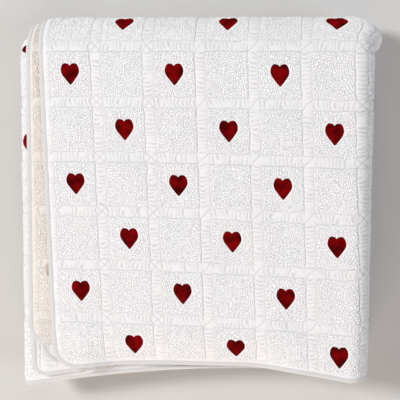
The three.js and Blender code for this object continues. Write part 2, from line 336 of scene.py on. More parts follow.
    def lower_hem(self, x: Array) -> Array:
        """The hem's y on the layers below the top one.

        Args:
            x: Places across the stack.

        Returns:
            The hem's y at each place.
        """
        middle_x, middle_y = self.lower_hem_middle
        left, right = self.lower_hem_drops
        to_left = clamp01((middle_x - x) / (middle_x - self.open_fold_x))
        to_right = clamp01((x - middle_x) / (self.side_fold_x - middle_x))
        return middle_y - left * to_left**2 - right * to_right**2

    def top_hem(self, x: Array) -> Array:
        """The hem's y on the layer on top.

        Args:
            x: Places across the stack.

        Returns:
            The hem's y at each place.
        """
        from_x, left = self.top_hem_left
        to_x, right = self.top_hem_right
        to_left = clamp01((from_x - x) / (from_x - self.top.hem_x))
        to_right = clamp01((x - to_x) / (self.side_x - to_x))
        power = self.top_hem_power
        return self.top_hem_middle - left * to_left**power - right * to_right**power

    def tucked(self, x: Array) -> Array:
        """Share of the way from the open corner to where the layers below the top one end further back."""
        start, full = self.droop_rise
        return clamp01((x - start) / (full - start))

    def second_hem(self, x: Array) -> Array:
        """The hem's y on the second layer, which lags behind the first and swings out to meet it."""
        swing = smooth((x - self.second_hem_swing) / (self.side_x - self.second_hem_swing))
        return self.top_hem(x) + (self.second_hem_lag + self.second_hem_tuck * self.tucked(x)) * (1 - swing)

    def droop(self, u: Array, v: Array) -> Array:
        """How far the front of the top layer droops over the shorter layers below.

        Args:
            u: Distances across the flat cloth.
            v: Distances along it.

        Returns:
            How far each place is lowered.
        """
        start, end = self.droop_fade
        ahead = self.droop_start - v
        eased = np.clip(ahead + self.droop_round, 0, 2 * self.droop_round) ** 2 / (4 * self.droop_round)
        forward = np.where(ahead > self.droop_round, ahead, eased) / (self.droop_start - self.hem_y)
        return self.droop_height * smooth(self.tucked(u)) * smooth((end - u) / (end - start)) * forward

    def forward(self, kind: Array, share: Array, x: Array) -> Array:
        """How far the rows of blocks lie forward at the hem, more towards the side fold."""
        on_top = np.where(kind == Run.TOP.value, clamp01(x / self.side_x) ** 2, 0.0)
        return self.row_drop * np.where(kind == Run.SIDE.value, 1 - share, on_top)

    def wrapped(self, beyond: Array, bulge: Array) -> tuple[Array, ...]:
        """The section on the top layer and round the side fold.

        Args:
            beyond: Distances beyond the start of that fold.
            bulge: How far the fold bulges out.

        Returns:
            x, height above the mid-plane, and the two parts of the outward direction.
        """
        angle = np.maximum(beyond, 0.0) / self.side_radius
        sin, cos = np.sin(angle), np.cos(angle)
        swell = bulge * clamp01(1 + beyond / self.bulge_span)
        x = self.side_x + np.minimum(beyond, 0.0) + swell + self.side_radius * sin
        return x, self.level(4.5) + self.side_radius * cos, sin, cos

    def paired(self, face: OpenEdge, back: OpenEdge, near: Array, far: Array, turn: Array) -> Array:
        """The x of an edge that goes from one sheet's to the other's as the cloth turns."""
        return lerp(face.at(near, far), back.at(near, far), (1 - np.cos(turn)) / 2)

    def section(self, kind: Array, share: Array, near: Array, far: Array, turn: Array,
                bulge: Array) -> tuple[Array, ...]:
        """The folded cross-section. The grid leans, so its columns reach the side fold earlier at the back.

        Args:
            kind: Number of the stretch across.
            share: Share of that stretch.
            near: Share of the way from the hem to the back fold.
            far: Share of the way from the back fold to the front underneath.
            turn: Turn from the first sheet to the second.
            bulge: How far the side fold bulges out.

        Returns:
            x, height above the mid-plane, and the two parts of the outward direction.
        """
        flat = np.zeros(np.broadcast(kind, near).shape)
        angle = math.pi * share + flat
        sin, cos = np.sin(angle), np.cos(angle)
        tight = self.layer_pitch
        span = self.side_x - self.top.hem_x
        free = clamp01(share * span / self.top.corner)
        lean = (self.grid_shift - self.grid_lean * near) * (1 - far)
        shift = self.paired(self.top, self.second, near, far, turn) - self.top.hem_x
        spread = lerp(far, 1.0, (1 - np.cos(turn)) / 2)
        flat_way = (share - 1) * span + lean * free + shift * lerp(1 - free, 1 - share, spread) + flat
        bent_way = angle * self.side_radius + lean * (1 - share)
        last_x = lerp(self.side_x, self.paired(self.fourth, self.third, near, far, turn), share) + flat
        straight = lerp(self.side_x, self.open_x, share) + flat
        back = lerp(self.open_x, self.side_x, share) + flat
        table = {
            Run.TOP: self.wrapped(flat_way, bulge),
            Run.SIDE: self.wrapped(bent_way, bulge),
            Run.UNDER: (straight, self.level(7.5), 0.0, -1.0),
            Run.OPEN: (self.open_x - tight * sin, self.level(6.5) - tight * cos, -sin, -cos),
            Run.OVER: (back, self.level(5.5), 0.0, 1.0),
            Run.INNER: (self.side_x + tight * sin, self.level(4.5) - tight * cos, -sin, cos),
            Run.LAST: (last_x, self.level(3.5), 0.0, -1.0),
        }
        columns = []
        for item in range(4):
            column = flat
            for run, values in table.items():
                column = np.where(kind == run.value, values[item], column)
            columns.append(column)
        return tuple(columns)

    def hem(self, kind: Array, share: Array, x: Array, turn: Array) -> Array:
        """The y of the front hem.

        Args:
            kind: Number of the stretch across.
            share: Share of that stretch.
            x: The section's x at the hem.
            turn: Turn from the first sheet to the second.

        Returns:
            The hem's y at each place.
        """
        face = turn < math.pi / 2
        side_hem = self.top_hem(np.array(self.side_x))
        top_face = self.top_hem(x) + self.top.rise(x - self.top.hem_x)
        top_back = self.second_hem(x) + self.second.rise(x - self.second.hem_x)
        lower = self.lower_hem(x)
        tuck = self.lower_tuck * self.tucked(x)
        side = lerp(side_hem, self.lower_hem(np.array(self.side_x)) + self.nest_step, share)
        last_face = lower + tuck + self.fourth.hem_lift + self.fourth.rise(x - self.fourth.hem_x)
        last_back = lower + tuck + self.third.hem_lift + self.third.rise(x - self.third.hem_x)
        hem = lower + np.where(face, 0.0, self.nest_step)
        hem = np.where(kind == Run.TOP.value, np.where(face, top_face, top_back), hem)
        hem = np.where(kind == Run.SIDE.value, side, hem)
        return np.where(kind == Run.LAST.value, np.where(face, last_face, last_back), hem)

    def place(self, u: Array, along: Along, out: Array | float) -> Array:
        """Where places on the cloth lie in the folded stack.

        Args:
            u: Distances across the flat cloth.
            along: Places along it, of a shape that goes with u.
            out: Distances from the middle between the two sheets.

        Returns:
            Points in metres in the part's frame, with a last axis of three.
        """
        kind, share = self.across(u)
        part, at, turn = along.part, along.at, along.turn
        front, back, bottom = part == Part.FRONT.value, part == Part.BACK.value, part == Part.BOTTOM.value
        rows = self.back_fold_y - self.hem_y
        near = np.where(front, clamp01((at - self.hem_y) / rows), 1.0)
        far = np.where(front, 0.0, np.where(back, at / math.pi / 2, np.where(bottom, 0.5 + at / 2, 1.0)))
        before = (at - self.back_fold_y) / self.back_radius
        round_back = np.where(front, before, np.where(back, at, math.pi))
        bulge = self.bulge_out * bell((round_back - self.bulge_angle) / self.bulge_spread)
        x0, h, nx, nh = self.section(kind, share, near, far, turn, bulge)
        lift = out * np.cos(turn)
        x, h = x0 + lift * nx, h + lift * nh
        angle = np.where(back, at, 0.0)
        front_x = self.section(kind, share, near * 0.0, far * 0.0, turn, bulge * 0.0)[0]
        on_top = (kind == Run.TOP.value) & (turn < math.pi / 2)
        blend = clamp01(1 - (at - self.hem_y) / np.where(on_top, self.top_blend, self.hem_blend))
        hem_shift = self.hem(kind, share, front_x, turn) + self.forward(kind, share, front_x) - self.hem_y
        y_front = at - self.forward(kind, share, x0) * np.sqrt(1 - near) + hem_shift * blend
        y_end = self.lower_hem(x0) + self.front_fold_inset - out * np.sin(turn)
        y_bottom = lerp(self.back_fold_y, self.lower_hem(x0) + self.front_fold_inset, at)
        y = np.where(front, y_front, np.where(back, self.back_fold_y + h * np.sin(angle), y_end))
        y = np.where(bottom, y_bottom, y)
        droop = np.where(on_top & front, self.droop(u, at), 0.0)
        settled = h * (1 - self.front_settle * (1 - near)) - droop
        z = self.middle_z + np.where(front, settled, np.where(back, h * np.cos(angle), -h))
        return np.stack([x - self.centre_x, y - self.centre_y, z], axis=-1) * MM


@dataclass(frozen=True)
class HeartShape:
    """A plump heart, point down: shares of half its width and of its height, from the notch to the tip."""

    width: float = 28.0
    height: float = 31.6
    slant_share: float = 0.8
    half: tuple[Span, ...] = (
        (0.0, 0.39), (0.1, 0.44), (0.26, 0.485), (0.45, 0.5), (0.63, 0.485), (0.79, 0.435), (0.91, 0.35),
        (0.98, 0.25), (1.0, 0.16), (0.985, 0.09), (0.92, 0.01), (0.82, -0.07), (0.7, -0.14), (0.56, -0.22),
        (0.42, -0.3), (0.28, -0.37), (0.16, -0.43), (0.07, -0.475), (0.0, -0.5),
    )

    def half_widths(self, up: Array) -> tuple[Array, Array]:
        """Inner and outer half widths of one lobe.

        Args:
            up: Heights above the heart's centre.

        Returns:
            Where the lobe begins beside the notch, and where it ends, as distances from the middle line.
        """
        across, height = (np.array(column) for column in zip(*self.half))
        crest = int(np.argmax(height))
        share = up / self.height
        inner = np.interp(share, height[: crest + 1], across[: crest + 1], left=0.0)
        outer = np.interp(-share, -height[crest:], across[crest:])
        return inner * self.width / 2, outer * self.width / 2

    def outside(self, x: Array, y: Array) -> Array:
        """Rough distance outside the outline, negative inside, for places about the heart's centre.

        Args:
            x: Distances across from the heart's centre.
            y: Distances along from it.

        Returns:
            The distances.
        """
        inner, outer = self.half_widths(np.clip(y, -self.height / 2, self.height / 2))
        sideways = np.abs(x) - outer
        sideways = np.where(inner > 0, np.maximum(sideways, inner - np.abs(x)), sideways)
        upward = np.abs(y) - self.height / 2
        return np.maximum(sideways * self.slant_share, upward)


@dataclass
class Quilting:
    """The sewn relief of the cloth: stippled blocks, ribbed sash strips, and crosses where they meet."""

    column_pitch: float = 76.0
    row_pitch: float = 80.0
    sash_width: float = 15.0
    sash_rise: float = 1.0
    rib_pitch: float = 5.9
    rib_width: float = 1.15
    rib_stray: float = 1.0
    seam_width: float = 0.75
    seam_depth: float = 0.4
    cross_circle: float = 9.2
    cross_width: float = 0.75
    cross_depth: float = 0.8
    stipple_pitch: float = 3.2
    stipple_width: float = 0.7
    stipple_rise: float = 1.55
    # Painted shade: the stipple, seam, cross and rib shares below darken the grooves where shade falls, and
    # the strip share lays a flat grey over the sash strips and the plain cloth to match the stippled
    # blocks.
    stipple_tint: float = 0.66
    strip_tint: float = 0.22
    seam_tint: float = 0.65
    seam_press: float = 0.75
    faint_seam: float = 0.4
    cross_tint: float = 0.75
    cross_height: float = 0.8
    cross_cycle: int = 5
    cross_clear: int = 2
    cross_faint: float = 0.3
    circle_shares: Span = (0.8, 0.25)
    rib_tint: float = 0.42
    rib_lean: float = 0.12
    rib_strength: Span = (0.75, 0.35)
    rib_ends: Span = (0.6, 2.0)
    rib_cut: float = 0.85
    sash_crown: Span = (0.55, 0.45)
    heart_margin: float = 0.45
    heart_fade: float = 1.4
    heart_rim: float = 1.2
    bare_height: float = 0.5
    rim_dip: float = 0.05
    pinch_row: int = 7
    pinch_column: int = 6
    sway: float = 0.42
    stray: float = 0.45
    stray_shift: float = 77.0
    slow_wave: float = 95.0
    ripple_wave: float = 24.0
    wave_spread: float = 0.5
    stipple_spread: float = 0.42
    least_slope: float = 0.12
    tile_mm: float = 312.0
    tile_cells: int = 624
    seed: int = 11
    heart: HeartShape = field(default_factory=HeartShape)

    def __post_init__(self) -> None:
        """Draw the stipple and the slow unevenness once."""
        self._stipple = self.meander()
        waves = (self.slow_wave, self.ripple_wave)
        self._slow, self._ripple = (
            self.noise(wave, self.wave_spread, self.seed + k) for k, wave in enumerate(waves, 1))

    def noise(self, wave: float, spread: float, seed: int) -> Array:
        """A tile of even noise that repeats without a seam.

        Args:
            wave: Distance from crest to crest.
            spread: How far the distances vary, as a share.
            seed: Seed of the random draw.

        Returns:
            A square tile with a standard deviation of 1.
        """
        cells = self.tile_cells
        steps = np.fft.fftfreq(cells, self.tile_mm / cells)
        pace = np.hypot(steps[:, None], steps[None, :]) * wave
        ring = bell((pace - 1.0) / spread)
        white = np.random.default_rng(seed).standard_normal((cells, cells))
        tile = np.fft.ifft2(np.fft.fft2(white) * ring).real
        return tile / tile.std()

    def meander(self) -> Array:
        """One wandering line of stitches that fills the cloth: 0 in its groove, 1 between.

        Returns:
            A square tile of shares.
        """
        tile = self.noise(2 * self.stipple_pitch, self.stipple_spread, self.seed)
        padded = np.pad(tile, 1, mode="wrap")
        slope_y, slope_x = np.gradient(padded, self.tile_mm / self.tile_cells)
        slope = np.hypot(slope_y, slope_x)[1:-1, 1:-1]
        away = np.abs(tile) / (slope + self.least_slope)
        return 1 - bell(away / self.stipple_width)

    def sample(self, tile: Array, u: Array, v: Array) -> Array:
        """Read a tile at places on the cloth, evenly between its cells.

        Args:
            tile: A tile of noise.
            u: Distances across the flat cloth.
            v: Distances along it.

        Returns:
            The tile's value at each place.
        """
        cells = self.tile_cells
        x = (u * cells / self.tile_mm) % cells
        y = (v * cells / self.tile_mm) % cells
        i, j = x.astype(int) % cells, y.astype(int) % cells
        fx, fy = x - np.floor(x), y - np.floor(y)
        i1, j1 = (i + 1) % cells, (j + 1) % cells
        near = tile[j, i] * (1 - fx) + tile[j, i1] * fx
        after = tile[j1, i] * (1 - fx) + tile[j1, i1] * fx
        return near * (1 - fy) + after * fy

    def half_block(self) -> Span:
        """Half a block's width and length, from its middle to its seams."""
        return (self.column_pitch - self.sash_width) / 2, (self.row_pitch - self.sash_width) / 2

    def ripple(self, u: Array, v: Array) -> Array:
        """Small strays of the sewn lines."""
        return self.sample(self._ripple, u, v)

    def relief(self, u: Array, v: Array, hearts: bool = True) -> tuple[Array, Array]:
        """Height of the quilted face above its seams.

        Args:
            u: Distances across the flat cloth.
            v: Distances along it.
            hearts: Whether the stipple stops round the hearts.

        Returns:
            Heights in millimetres, and the share of painted shade at each place, most in the grooves, from
            0 to 1.
        """
        u, v = np.broadcast_arrays(u, v)
        wander = self.ripple(u, v)
        bent_u = u + self.stray * wander
        bent_v = v + self.stray * self.ripple(v + self.stray_shift, u)
        column = np.floor(bent_u / self.column_pitch + 0.5)
        row = np.floor(bent_v / self.row_pitch + 0.5)
        du = bent_u - column * self.column_pitch
        dv = bent_v - row * self.row_pitch
        half_u, half_v = self.half_block()
        past_u, past_v = np.abs(du) - half_u, np.abs(dv) - half_v
        strip_u, strip_v = past_u > 0, past_v > 0
        pinched = (row == self.pinch_row) & (column == self.pinch_column)
        hearted = ((row + column) % 2 == 1) & ~pinched
        height, groove = self.block(u, v, du, dv, hearted if hearts else None)
        for strip, past, along in ((strip_u, past_u, bent_v), (strip_v, past_v, bent_u)):
            ribbed, cut = self.strip(past, along, wander)
            height, groove = np.where(strip, ribbed, height), np.where(strip, cut, groove)
        both = strip_u & strip_v
        cross_u = self.sash_width / 2 - past_u
        cross_v = self.sash_width / 2 - past_v
        crossed, cut = self.cross(cross_u * -np.sign(du), cross_v * -np.sign(dv), column - (du < 0))
        height, groove = np.where(both, crossed, height), np.where(both, cut, groove)
        circle = self.circle(cross_u, cross_v, column - (du < 0))
        # Painted shade in the groove of the circle.
        height, groove = height - self.cross_depth * circle, np.maximum(groove, self.cross_tint * circle)
        in_u = np.where(strip_v & ~strip_u, 0.0, 1.0)
        seam_u = bell(past_u / self.seam_width) * np.where(both, self.faint_seam, in_u)
        seam_v = bell(past_v / self.seam_width) * np.where(strip_u, self.faint_seam, 1.0)
        seam = np.maximum(seam_u, seam_v)
        height = height * (1 - self.seam_press * seam) - self.seam_depth * seam
        # Painted shade in the seams.
        groove = np.maximum(groove, self.seam_tint * seam)
        return height + self.unevenness(u, v), groove

    def unevenness(self, u: Array, v: Array) -> Array:
        """Slow rise and fall of the whole layer."""
        return self.sway * self.sample(self._slow, u, v)

    def block(self, u: Array, v: Array, du: Array, dv: Array, hearted: Array | None) -> tuple[Array, Array]:
        """Height and painted groove shade of a stippled block, quiet where a heart is sewn on.

        Args:
            u: Distances across the flat cloth.
            v: Distances along it.
            du: Distances across from the block's middle.
            dv: Distances along from it.
            hearted: Which places are on a block with a heart, or None for no hearts.

        Returns:
            Heights in millimetres, and the share of painted shade at each place.
        """
        stipple = self.sample(self._stipple, u, v)
        height = self.stipple_rise * stipple
        # Painted shade in the stipple's grooves.
        groove = self.stipple_tint * (1 - stipple)
        if hearted is not None:
            away = self.heart.outside(du, dv)
            past = away - self.heart_margin
            bare = np.where(hearted, 1 - smooth(past / self.heart_fade), 0.0)
            rim = np.where(hearted, bell(past / self.heart_rim), 0.0)
            height = lerp(height, self.bare_height, bare) - self.rim_dip * rim
            groove = groove * (1 - bare)
        return height, groove

    def strip(self, past: Array, along: Array, wander: Array) -> tuple[Array, Array]:
        """Height and painted shade of a sash strip that puffs up between uneven cross ribs.

        Args:
            past: Distances past the seam.
            along: Distances along the strip.
            wander: How far the sewn lines stray.

        Returns:
            Heights in millimetres, and the share of painted shade at each place.
        """
        low, puff = self.sash_crown
        even, uneven = self.rib_strength
        first, fade = self.rib_ends
        crown = np.sin(math.pi * clamp01(past / self.sash_width))
        strayed = along + self.rib_stray * wander + self.rib_lean * past
        beat = np.abs((strayed / self.rib_pitch + 0.5) % 1.0 - 0.5) * self.rib_pitch
        cut = bell(beat / self.rib_width) * clamp01(even + uneven * wander)
        ends = smooth((past - first) / fade)
        height = self.sash_rise * (low + puff * crown) * (1 - self.rib_cut * cut * ends)
        # Painted shade: a flat grey over the strip, darker in the rib grooves.
        return height, self.strip_tint + self.rib_tint * cut * ends

    def clear(self, column: Array) -> Array:
        """Whether the cross in a crossing is sewn clearly; further right it is faint."""
        return column % self.cross_cycle < self.cross_clear

    def circle(self, a: Array, b: Array, column: Array) -> Array:
        """Groove of the circle sewn round a crossing, faint further right."""
        away = (np.hypot(a, b) - self.cross_circle) / self.cross_width
        return np.where(self.clear(column), *self.circle_shares) * bell(away)

    def cross(self, a: Array, b: Array, column: Array) -> tuple[Array, Array]:
        """Height and painted shade of a sash crossing: a sewn cross, faint but for one arm further right.

        Args:
            a: Distances across from the middle of the crossing.
            b: Distances along from it.
            column: Number of the crossing's column.

        Returns:
            Heights in millimetres, and the share of painted shade at each place.
        """
        rising, falling = (bell(way / math.sqrt(2) / self.cross_width) for way in (a - b, a + b))
        cut = np.maximum(rising, falling * np.where(self.clear(column), 1.0, self.cross_faint))
        height = self.sash_rise * self.cross_height - self.cross_depth * cut
        # Painted shade in the sewn cross, never lighter than the strip's flat grey.
        return height, np.maximum(self.cross_tint * cut, self.strip_tint)


@dataclass
class Faces:
    """Polygons gathered as plain lists of corners, ready to be written to a mesh."""

    corners: list[Array] = field(default_factory=list)
    counts: list[Array] = field(default_factory=list)

    def quads(self, *corners: Array) -> None:
        """Add four-cornered faces from four arrays of vertex numbers.

        Args:
            *corners: Vertex numbers of the faces' first corners, then of their second and so on.
        """
        table = np.stack([corner.ravel() for corner in corners], axis=1)
        self.corners.append(table.ravel())
        self.counts.append(np.full(len(table), len(corners)))

    def polygon(self, corners: Array) -> None:
        """Add one face with any number of corners."""
        self.corners.append(np.asarray(corners))
        self.counts.append(np.array([len(corners)]))

    def arrays(self, flip: bool) -> tuple[Array, Array]:
        """All corners in one row, and each face's count, turned over if asked.

        Args:
            flip: Whether the faces are turned over.

        Returns:
            The corners, and the counts.
        """
        corners, counts = np.concatenate(self.corners), np.concatenate(self.counts)
        if flip:
            starts = np.repeat(np.cumsum(counts) - counts, counts)
            place = np.arange(len(corners)) - starts
            corners = corners[starts + np.repeat(counts, counts) - 1 - place]
        return corners.astype(np.int32), counts.astype(np.int32)


def write_mesh(name: str, points: Array, faces: Faces, flip: bool = False, **values: Array) -> Mesh:
    """Write points and polygons to a mesh, pressed flat where it would reach below the floor.

    Args:
        name: Name of the mesh.
        points: Points in metres, one a row.
        faces: The polygons.
        flip: Whether the polygons face the other way.
        **values: One number a point for each named attribute; "uv" has two and becomes a UV map.

    Returns:
        The mesh, shaded smooth but for its square edges.
    """
    corners, counts = faces.arrays(flip)
    mesh = bpy.data.meshes.new(name)
    mesh.vertices.add(len(points))
    resting = np.maximum(points, (-np.inf, -np.inf, 0.0))
    mesh.vertices.foreach_set("co", np.ascontiguousarray(resting, np.float32).ravel())
    mesh.loops.add(len(corners))
    mesh.loops.foreach_set("vertex_index", corners)
    mesh.polygons.add(len(counts))
    mesh.polygons.foreach_set("loop_start", (np.cumsum(counts) - counts).astype(np.int32))
    mesh.update(calc_edges=True)
    for key, column in values.items():
        if key == "uv":
            layer = mesh.uv_layers.new(name="cloth")
            layer.data.foreach_set("uv", column[corners].astype(np.float32).ravel())
        else:
            attribute = mesh.attributes.new(key, "FLOAT", "POINT")
            attribute.data.foreach_set("value", column.astype(np.float32))
    mesh.polygons.foreach_set("use_smooth", np.ones(len(counts), bool))
    mesh.set_sharp_from_angle(angle=SQUARE_EDGE)
    mesh.validate()
    return mesh


def shell(face: Array, under: Array, kept: Array) -> tuple[Array, Faces]:
    """Close a thin shell between a fine face and a plainer underside.

    Args:
        face: Points of the face, rows by columns by three.
        under: Points of the underside, of the same size.
        kept: The columns that the underside keeps, the first and last among them.

    Returns:
        The points and the polygons of the closed shell.
    """
    rows, columns, _ = face.shape
    top = np.arange(rows * columns).reshape(rows, columns)
    low = rows * columns + np.arange(rows * len(kept)).reshape(rows, len(kept))
    faces = Faces()
    faces.quads(top[:-1, :-1], top[:-1, 1:], top[1:, 1:], top[1:, :-1])
    faces.quads(low[:-1, :-1], low[1:, :-1], low[1:, 1:], low[:-1, 1:])
    faces.quads(top[:-1, 0], top[1:, 0], low[1:, 0], low[:-1, 0])
    faces.quads(top[:-1, -1], low[:-1, -1], low[1:, -1], top[1:, -1])
    for k, (start, stop) in enumerate(zip(kept[:-1], kept[1:])):
        first, last = top[0, start:stop + 1], top[-1, start:stop + 1]
        faces.polygon(np.concatenate([first[::-1], low[0, k:k + 2]]))
        faces.polygon(np.concatenate([last, low[-1, k:k + 2][::-1]]))
    return np.concatenate([face.reshape(-1, 3), under[:, kept].reshape(-1, 3)]), faces


def new_piece(name: str, mesh: Mesh, material: Material, slot: str) -> Piece:
    """Show a mesh as a piece of the quilt.

    Args:
        name: Name of the piece.
        mesh: Its mesh, in place.
        material: Its finish.
        slot: The record's material slot; not used.

    Returns:
        The object, riding on the part's only body.
    """
    piece = bpy.data.objects.new(name, mesh)
    bpy.context.scene.collection.objects.link(piece)
    mesh.materials.clear()
    mesh.materials.append(material)
    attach(piece, BODY)
    LOG.info("%s: %d faces", name, len(mesh.polygons))
    return piece


def linear(hex_colour: str) -> tuple[float, float, float, float]:
    """Turn an sRGB hex colour into linear light.

    Args:
        hex_colour: A colour such as #FFFFFF.

    Returns:
        Red, green, blue and an alpha of 1.
    """
    channels = [int(hex_colour[k:k + 2], 16) / 255 for k in (1, 3, 5)]
    bright = [c / 12.92 if c <= 0.04045 else ((c + 0.055) / 1.055) ** 2.4 for c in channels]
    return (*bright, 1.0)


def add(tree: Tree, kind: str, inputs: dict | None = None, **settings: object) -> Node:
    """Add a node to a tree.

    Args:
        tree: The node tree.
        kind: The node's type.
        inputs: Values or sockets for its inputs, by name or number.
        **settings: The node's own settings.

    Returns:
        The node.
    """
    item = tree.nodes.new(kind)
    for key, value in settings.items():
        setattr(item, key, value)
    for key, value in (inputs or {}).items():
        if isinstance(value, Socket):
            tree.links.new(value, item.inputs[key])
        else:
            item.inputs[key].default_value = value
    return item


def mixed(tree: Tree, share: object, first: object, second: object) -> Socket:
    """Blend two colours by a share."""
    return add(tree, "ShaderNodeMix", {0: share, 6: first, 7: second}, data_type="RGBA").outputs[2]


def sums(tree: Tree, operation: str, *values: object) -> Socket:
    """Work out values with one operation."""
    return add(tree, "ShaderNodeMath", dict(enumerate(values)), operation=operation).outputs[0]


def mottle(tree: Tree, place: object, wave_mm: float, detail: float = 2.0) -> Socket:
    """Uneven patches of a given size."""
    inputs = {"Vector": place, "Scale": 1 / (wave_mm * MM), "Detail": detail}
    return add(tree, "ShaderNodeTexNoise", inputs).outputs["Fac"]


class Finish:
    """A finish with a node-based material."""

    name: str

    def material(self) -> Material:
        """Make the material, then let the finish fill in its shader's sockets.

        Returns:
            The material.
        """
        made = bpy.data.materials.new(self.name)
        made.use_nodes = True
        tree = made.node_tree
        shader = next(item for item in tree.nodes if item.type == "BSDF_PRINCIPLED")
        for label, value in self.sockets(tree).items():
            if isinstance(value, Socket):
                tree.links.new(value, shader.inputs[label])
            else:
                shader.inputs[label].default_value = value
        return made

    def sockets(self, tree: Tree) -> dict[str, object]:
        """Values and patterns for the shader's sockets, by name."""
        raise NotImplementedError


@dataclass(frozen=True)
class WovenCotton(Finish):
    """Plain woven cotton, washed: white and matt, a soft nap at glancing angles, a fine thread grid.

    The threads are 0.3 mm in the real cloth, too fine to show, so they are drawn 1.2 mm apart.
    """

    name: str
    light: str
    warm: str
    # The colour painted into the quilting's grooves as shade.
    groove: str
    thread_mm: float = 1.2
    thread_waver: float = 0.6
    turned: float = 0.0
    patch_mm: float = 110.0
    lint_mm: float = 2.2
    weave_depth_mm: float = 0.05
    # How far the painted groove shade is mixed in.
    groove_share: float = 0.8
    roughness: float = 0.86
    sheen: float = 0.3
    nap: float = 0.5
    shine: float = 0.25

    def sockets(self, tree: Tree) -> dict[str, object]:
        """Colour patches, painted shade in the grooves, and a woven bump with a little lint.

        Args:
            tree: The material's node tree.

        Returns:
            Sockets and values by the names of the shader's sockets.
        """
        place = add(tree, "ShaderNodeUVMap", uv_map="cloth").outputs[0]
        spun = add(tree, "ShaderNodeMapping", {"Vector": place, "Rotation": (0, 0, self.turned)})
        tint = mixed(tree, mottle(tree, place, self.patch_mm, 3.0), linear(self.light), linear(self.warm))
        # Painted shade: the groove attribute darkens the cloth towards the shade colour.
        depth = add(tree, "ShaderNodeAttribute", attribute_name="groove").outputs["Fac"]
        colour = mixed(tree, sums(tree, "MULTIPLY", depth, self.groove_share), tint, linear(self.groove))
        scale = 2 * math.pi / WAVE_BANDS / (self.thread_mm * MM)
        grid = {"Vector": spun.outputs[0], "Scale": scale, "Distortion": self.thread_waver,
                "Detail Scale": 2.0}
        threads = [add(tree, "ShaderNodeTexWave", grid, bands_direction=way).outputs["Fac"]
                   for way in ("X", "Y")]
        weave = sums(tree, "ADD", sums(tree, "MAXIMUM", *threads), mottle(tree, place, self.lint_mm, 4.0))
        bump = add(tree, "ShaderNodeBump", {
            "Height": weave, "Distance": self.weave_depth_mm * MM, "Strength": 1.0})
        return {"Base Color": colour, "Normal": bump.outputs[0], "Roughness": self.roughness,
                "Sheen Weight": self.sheen, "Sheen Roughness": self.nap, "Specular IOR Level": self.shine}


@dataclass(frozen=True)
class SatinThread(Finish):
    """Rayon embroidery thread laid side by side: a deep colour with a silky shine along the rows."""

    name: str
    # The thread is mixed between these two colours by painted light: the deep one where shaded, the bright
    # one where lit.
    deep: str
    bright: str
    strand_mm: float = 0.9
    ply_depth_mm: float = 0.08
    ply_share: float = 0.6
    # Painted sheen: patches of the bright colour where the satin would catch the light.
    patch_mm: float = 16.0
    patch_span: Span = (0.36, 0.64)
    patch_share: float = 0.75
    roughness: float = 0.36
    shine: float = 0.5
    along_rows: float = 0.4

    def sockets(self, tree: Tree) -> dict[str, object]:
        """Painted sheen in patches that catch the light differently, and painted shade towards the sewn
        rim, over a fine ply bump.

        Args:
            tree: The material's node tree.

        Returns:
            Sockets and values by the names of the shader's sockets.
        """
        place = add(tree, "ShaderNodeTexCoord").outputs["Object"]
        low, high = self.patch_span
        sheen_patch = add(tree, "ShaderNodeMapRange", {
            "Value": mottle(tree, place, self.patch_mm), "From Min": low, "From Max": high})
        # Painted light: the crown share is low at the sewn rim and rises towards the heart's crown.
        crown = add(tree, "ShaderNodeAttribute", attribute_name="crown").outputs["Fac"]
        share = sums(tree, "MULTIPLY_ADD", sheen_patch.outputs[0], self.patch_share, crown)
        bump = add(tree, "ShaderNodeBump", {
            "Height": mottle(tree, place, self.strand_mm, 3.0), "Distance": self.ply_depth_mm * MM,
            "Strength": self.ply_share})
        colour = mixed(tree, share, linear(self.deep), linear(self.bright))
        return {"Base Color": colour, "Normal": bump.outputs[0], "Roughness": self.roughness,
                "Specular IOR Level": self.shine, "Anisotropic": self.along_rows}


@dataclass(frozen=True)
class StudioFloor(Finish):
    """Painted board: pale, matt and plain, with a trace of roller texture."""

    name: str = "matt_painted_board"
    paint: str = "#CFCECC"
    shade: str = "#C9C8C6"
    patch_mm: float = 400.0
    roughness: float = 0.9

    def sockets(self, tree: Tree) -> dict[str, object]:
        """A barely uneven coat of paint.

        Args:
            tree: The material's node tree.

        Returns:
            Sockets and values by the names of the shader's sockets.
        """
        coat = mottle(tree, add(tree, "ShaderNodeTexCoord").outputs["Object"], self.patch_mm)
        colour = mixed(tree, coat, linear(self.paint), linear(self.shade))
        return {"Base Color": colour, "Roughness": self.roughness}


@dataclass
class Finishes:
    """The materials of the quilt, made once."""

    cloth: Material = field(init=False)
    backing: Material = field(init=False)
    binding: Material = field(init=False)
    hearts: Material = field(init=False)
    bobbin: Material = field(init=False)
    stitches: Material = field(init=False)

    def __post_init__(self) -> None:
        """Make each material from its finish."""
        finishes = {
            # The last colour of each cotton is the shade painted into its grooves.
            "cloth": WovenCotton("washed_quilting_cotton", "#F5F6F8", "#F5F4F4", "#A2A2A4"),
            "backing": WovenCotton("unbleached_backing_cotton", "#F1EEEA", "#F0EAE4", "#A59C93"),
            # The binding is drawn greyer than the white cloth: painted shade, so the bound edges that face
            # the key light do not glare and the layer edges read.
            "binding": WovenCotton(
                "bias_binding_cotton", "#D3D3D4", "#D2D1D0", "#BDBBB9", turned=math.pi / 4),
            # Each thread's two colours are its shaded and its lit tone, mixed by painted light and painted
            # sheen.
            "hearts": SatinThread("rayon_satin_thread", "#3E0002", "#90060A", roughness=0.5, shine=0.02),
            "bobbin": SatinThread("bobbin_thread", "#B5AA9C", "#CFC5B8", roughness=0.6, shine=0.3),
            "stitches": SatinThread("cotton_sewing_thread", "#E6E3DF", "#F4F2F0", roughness=0.7, shine=0.2),
        }
        for label, finish in finishes.items():
            setattr(self, label, finish.material())


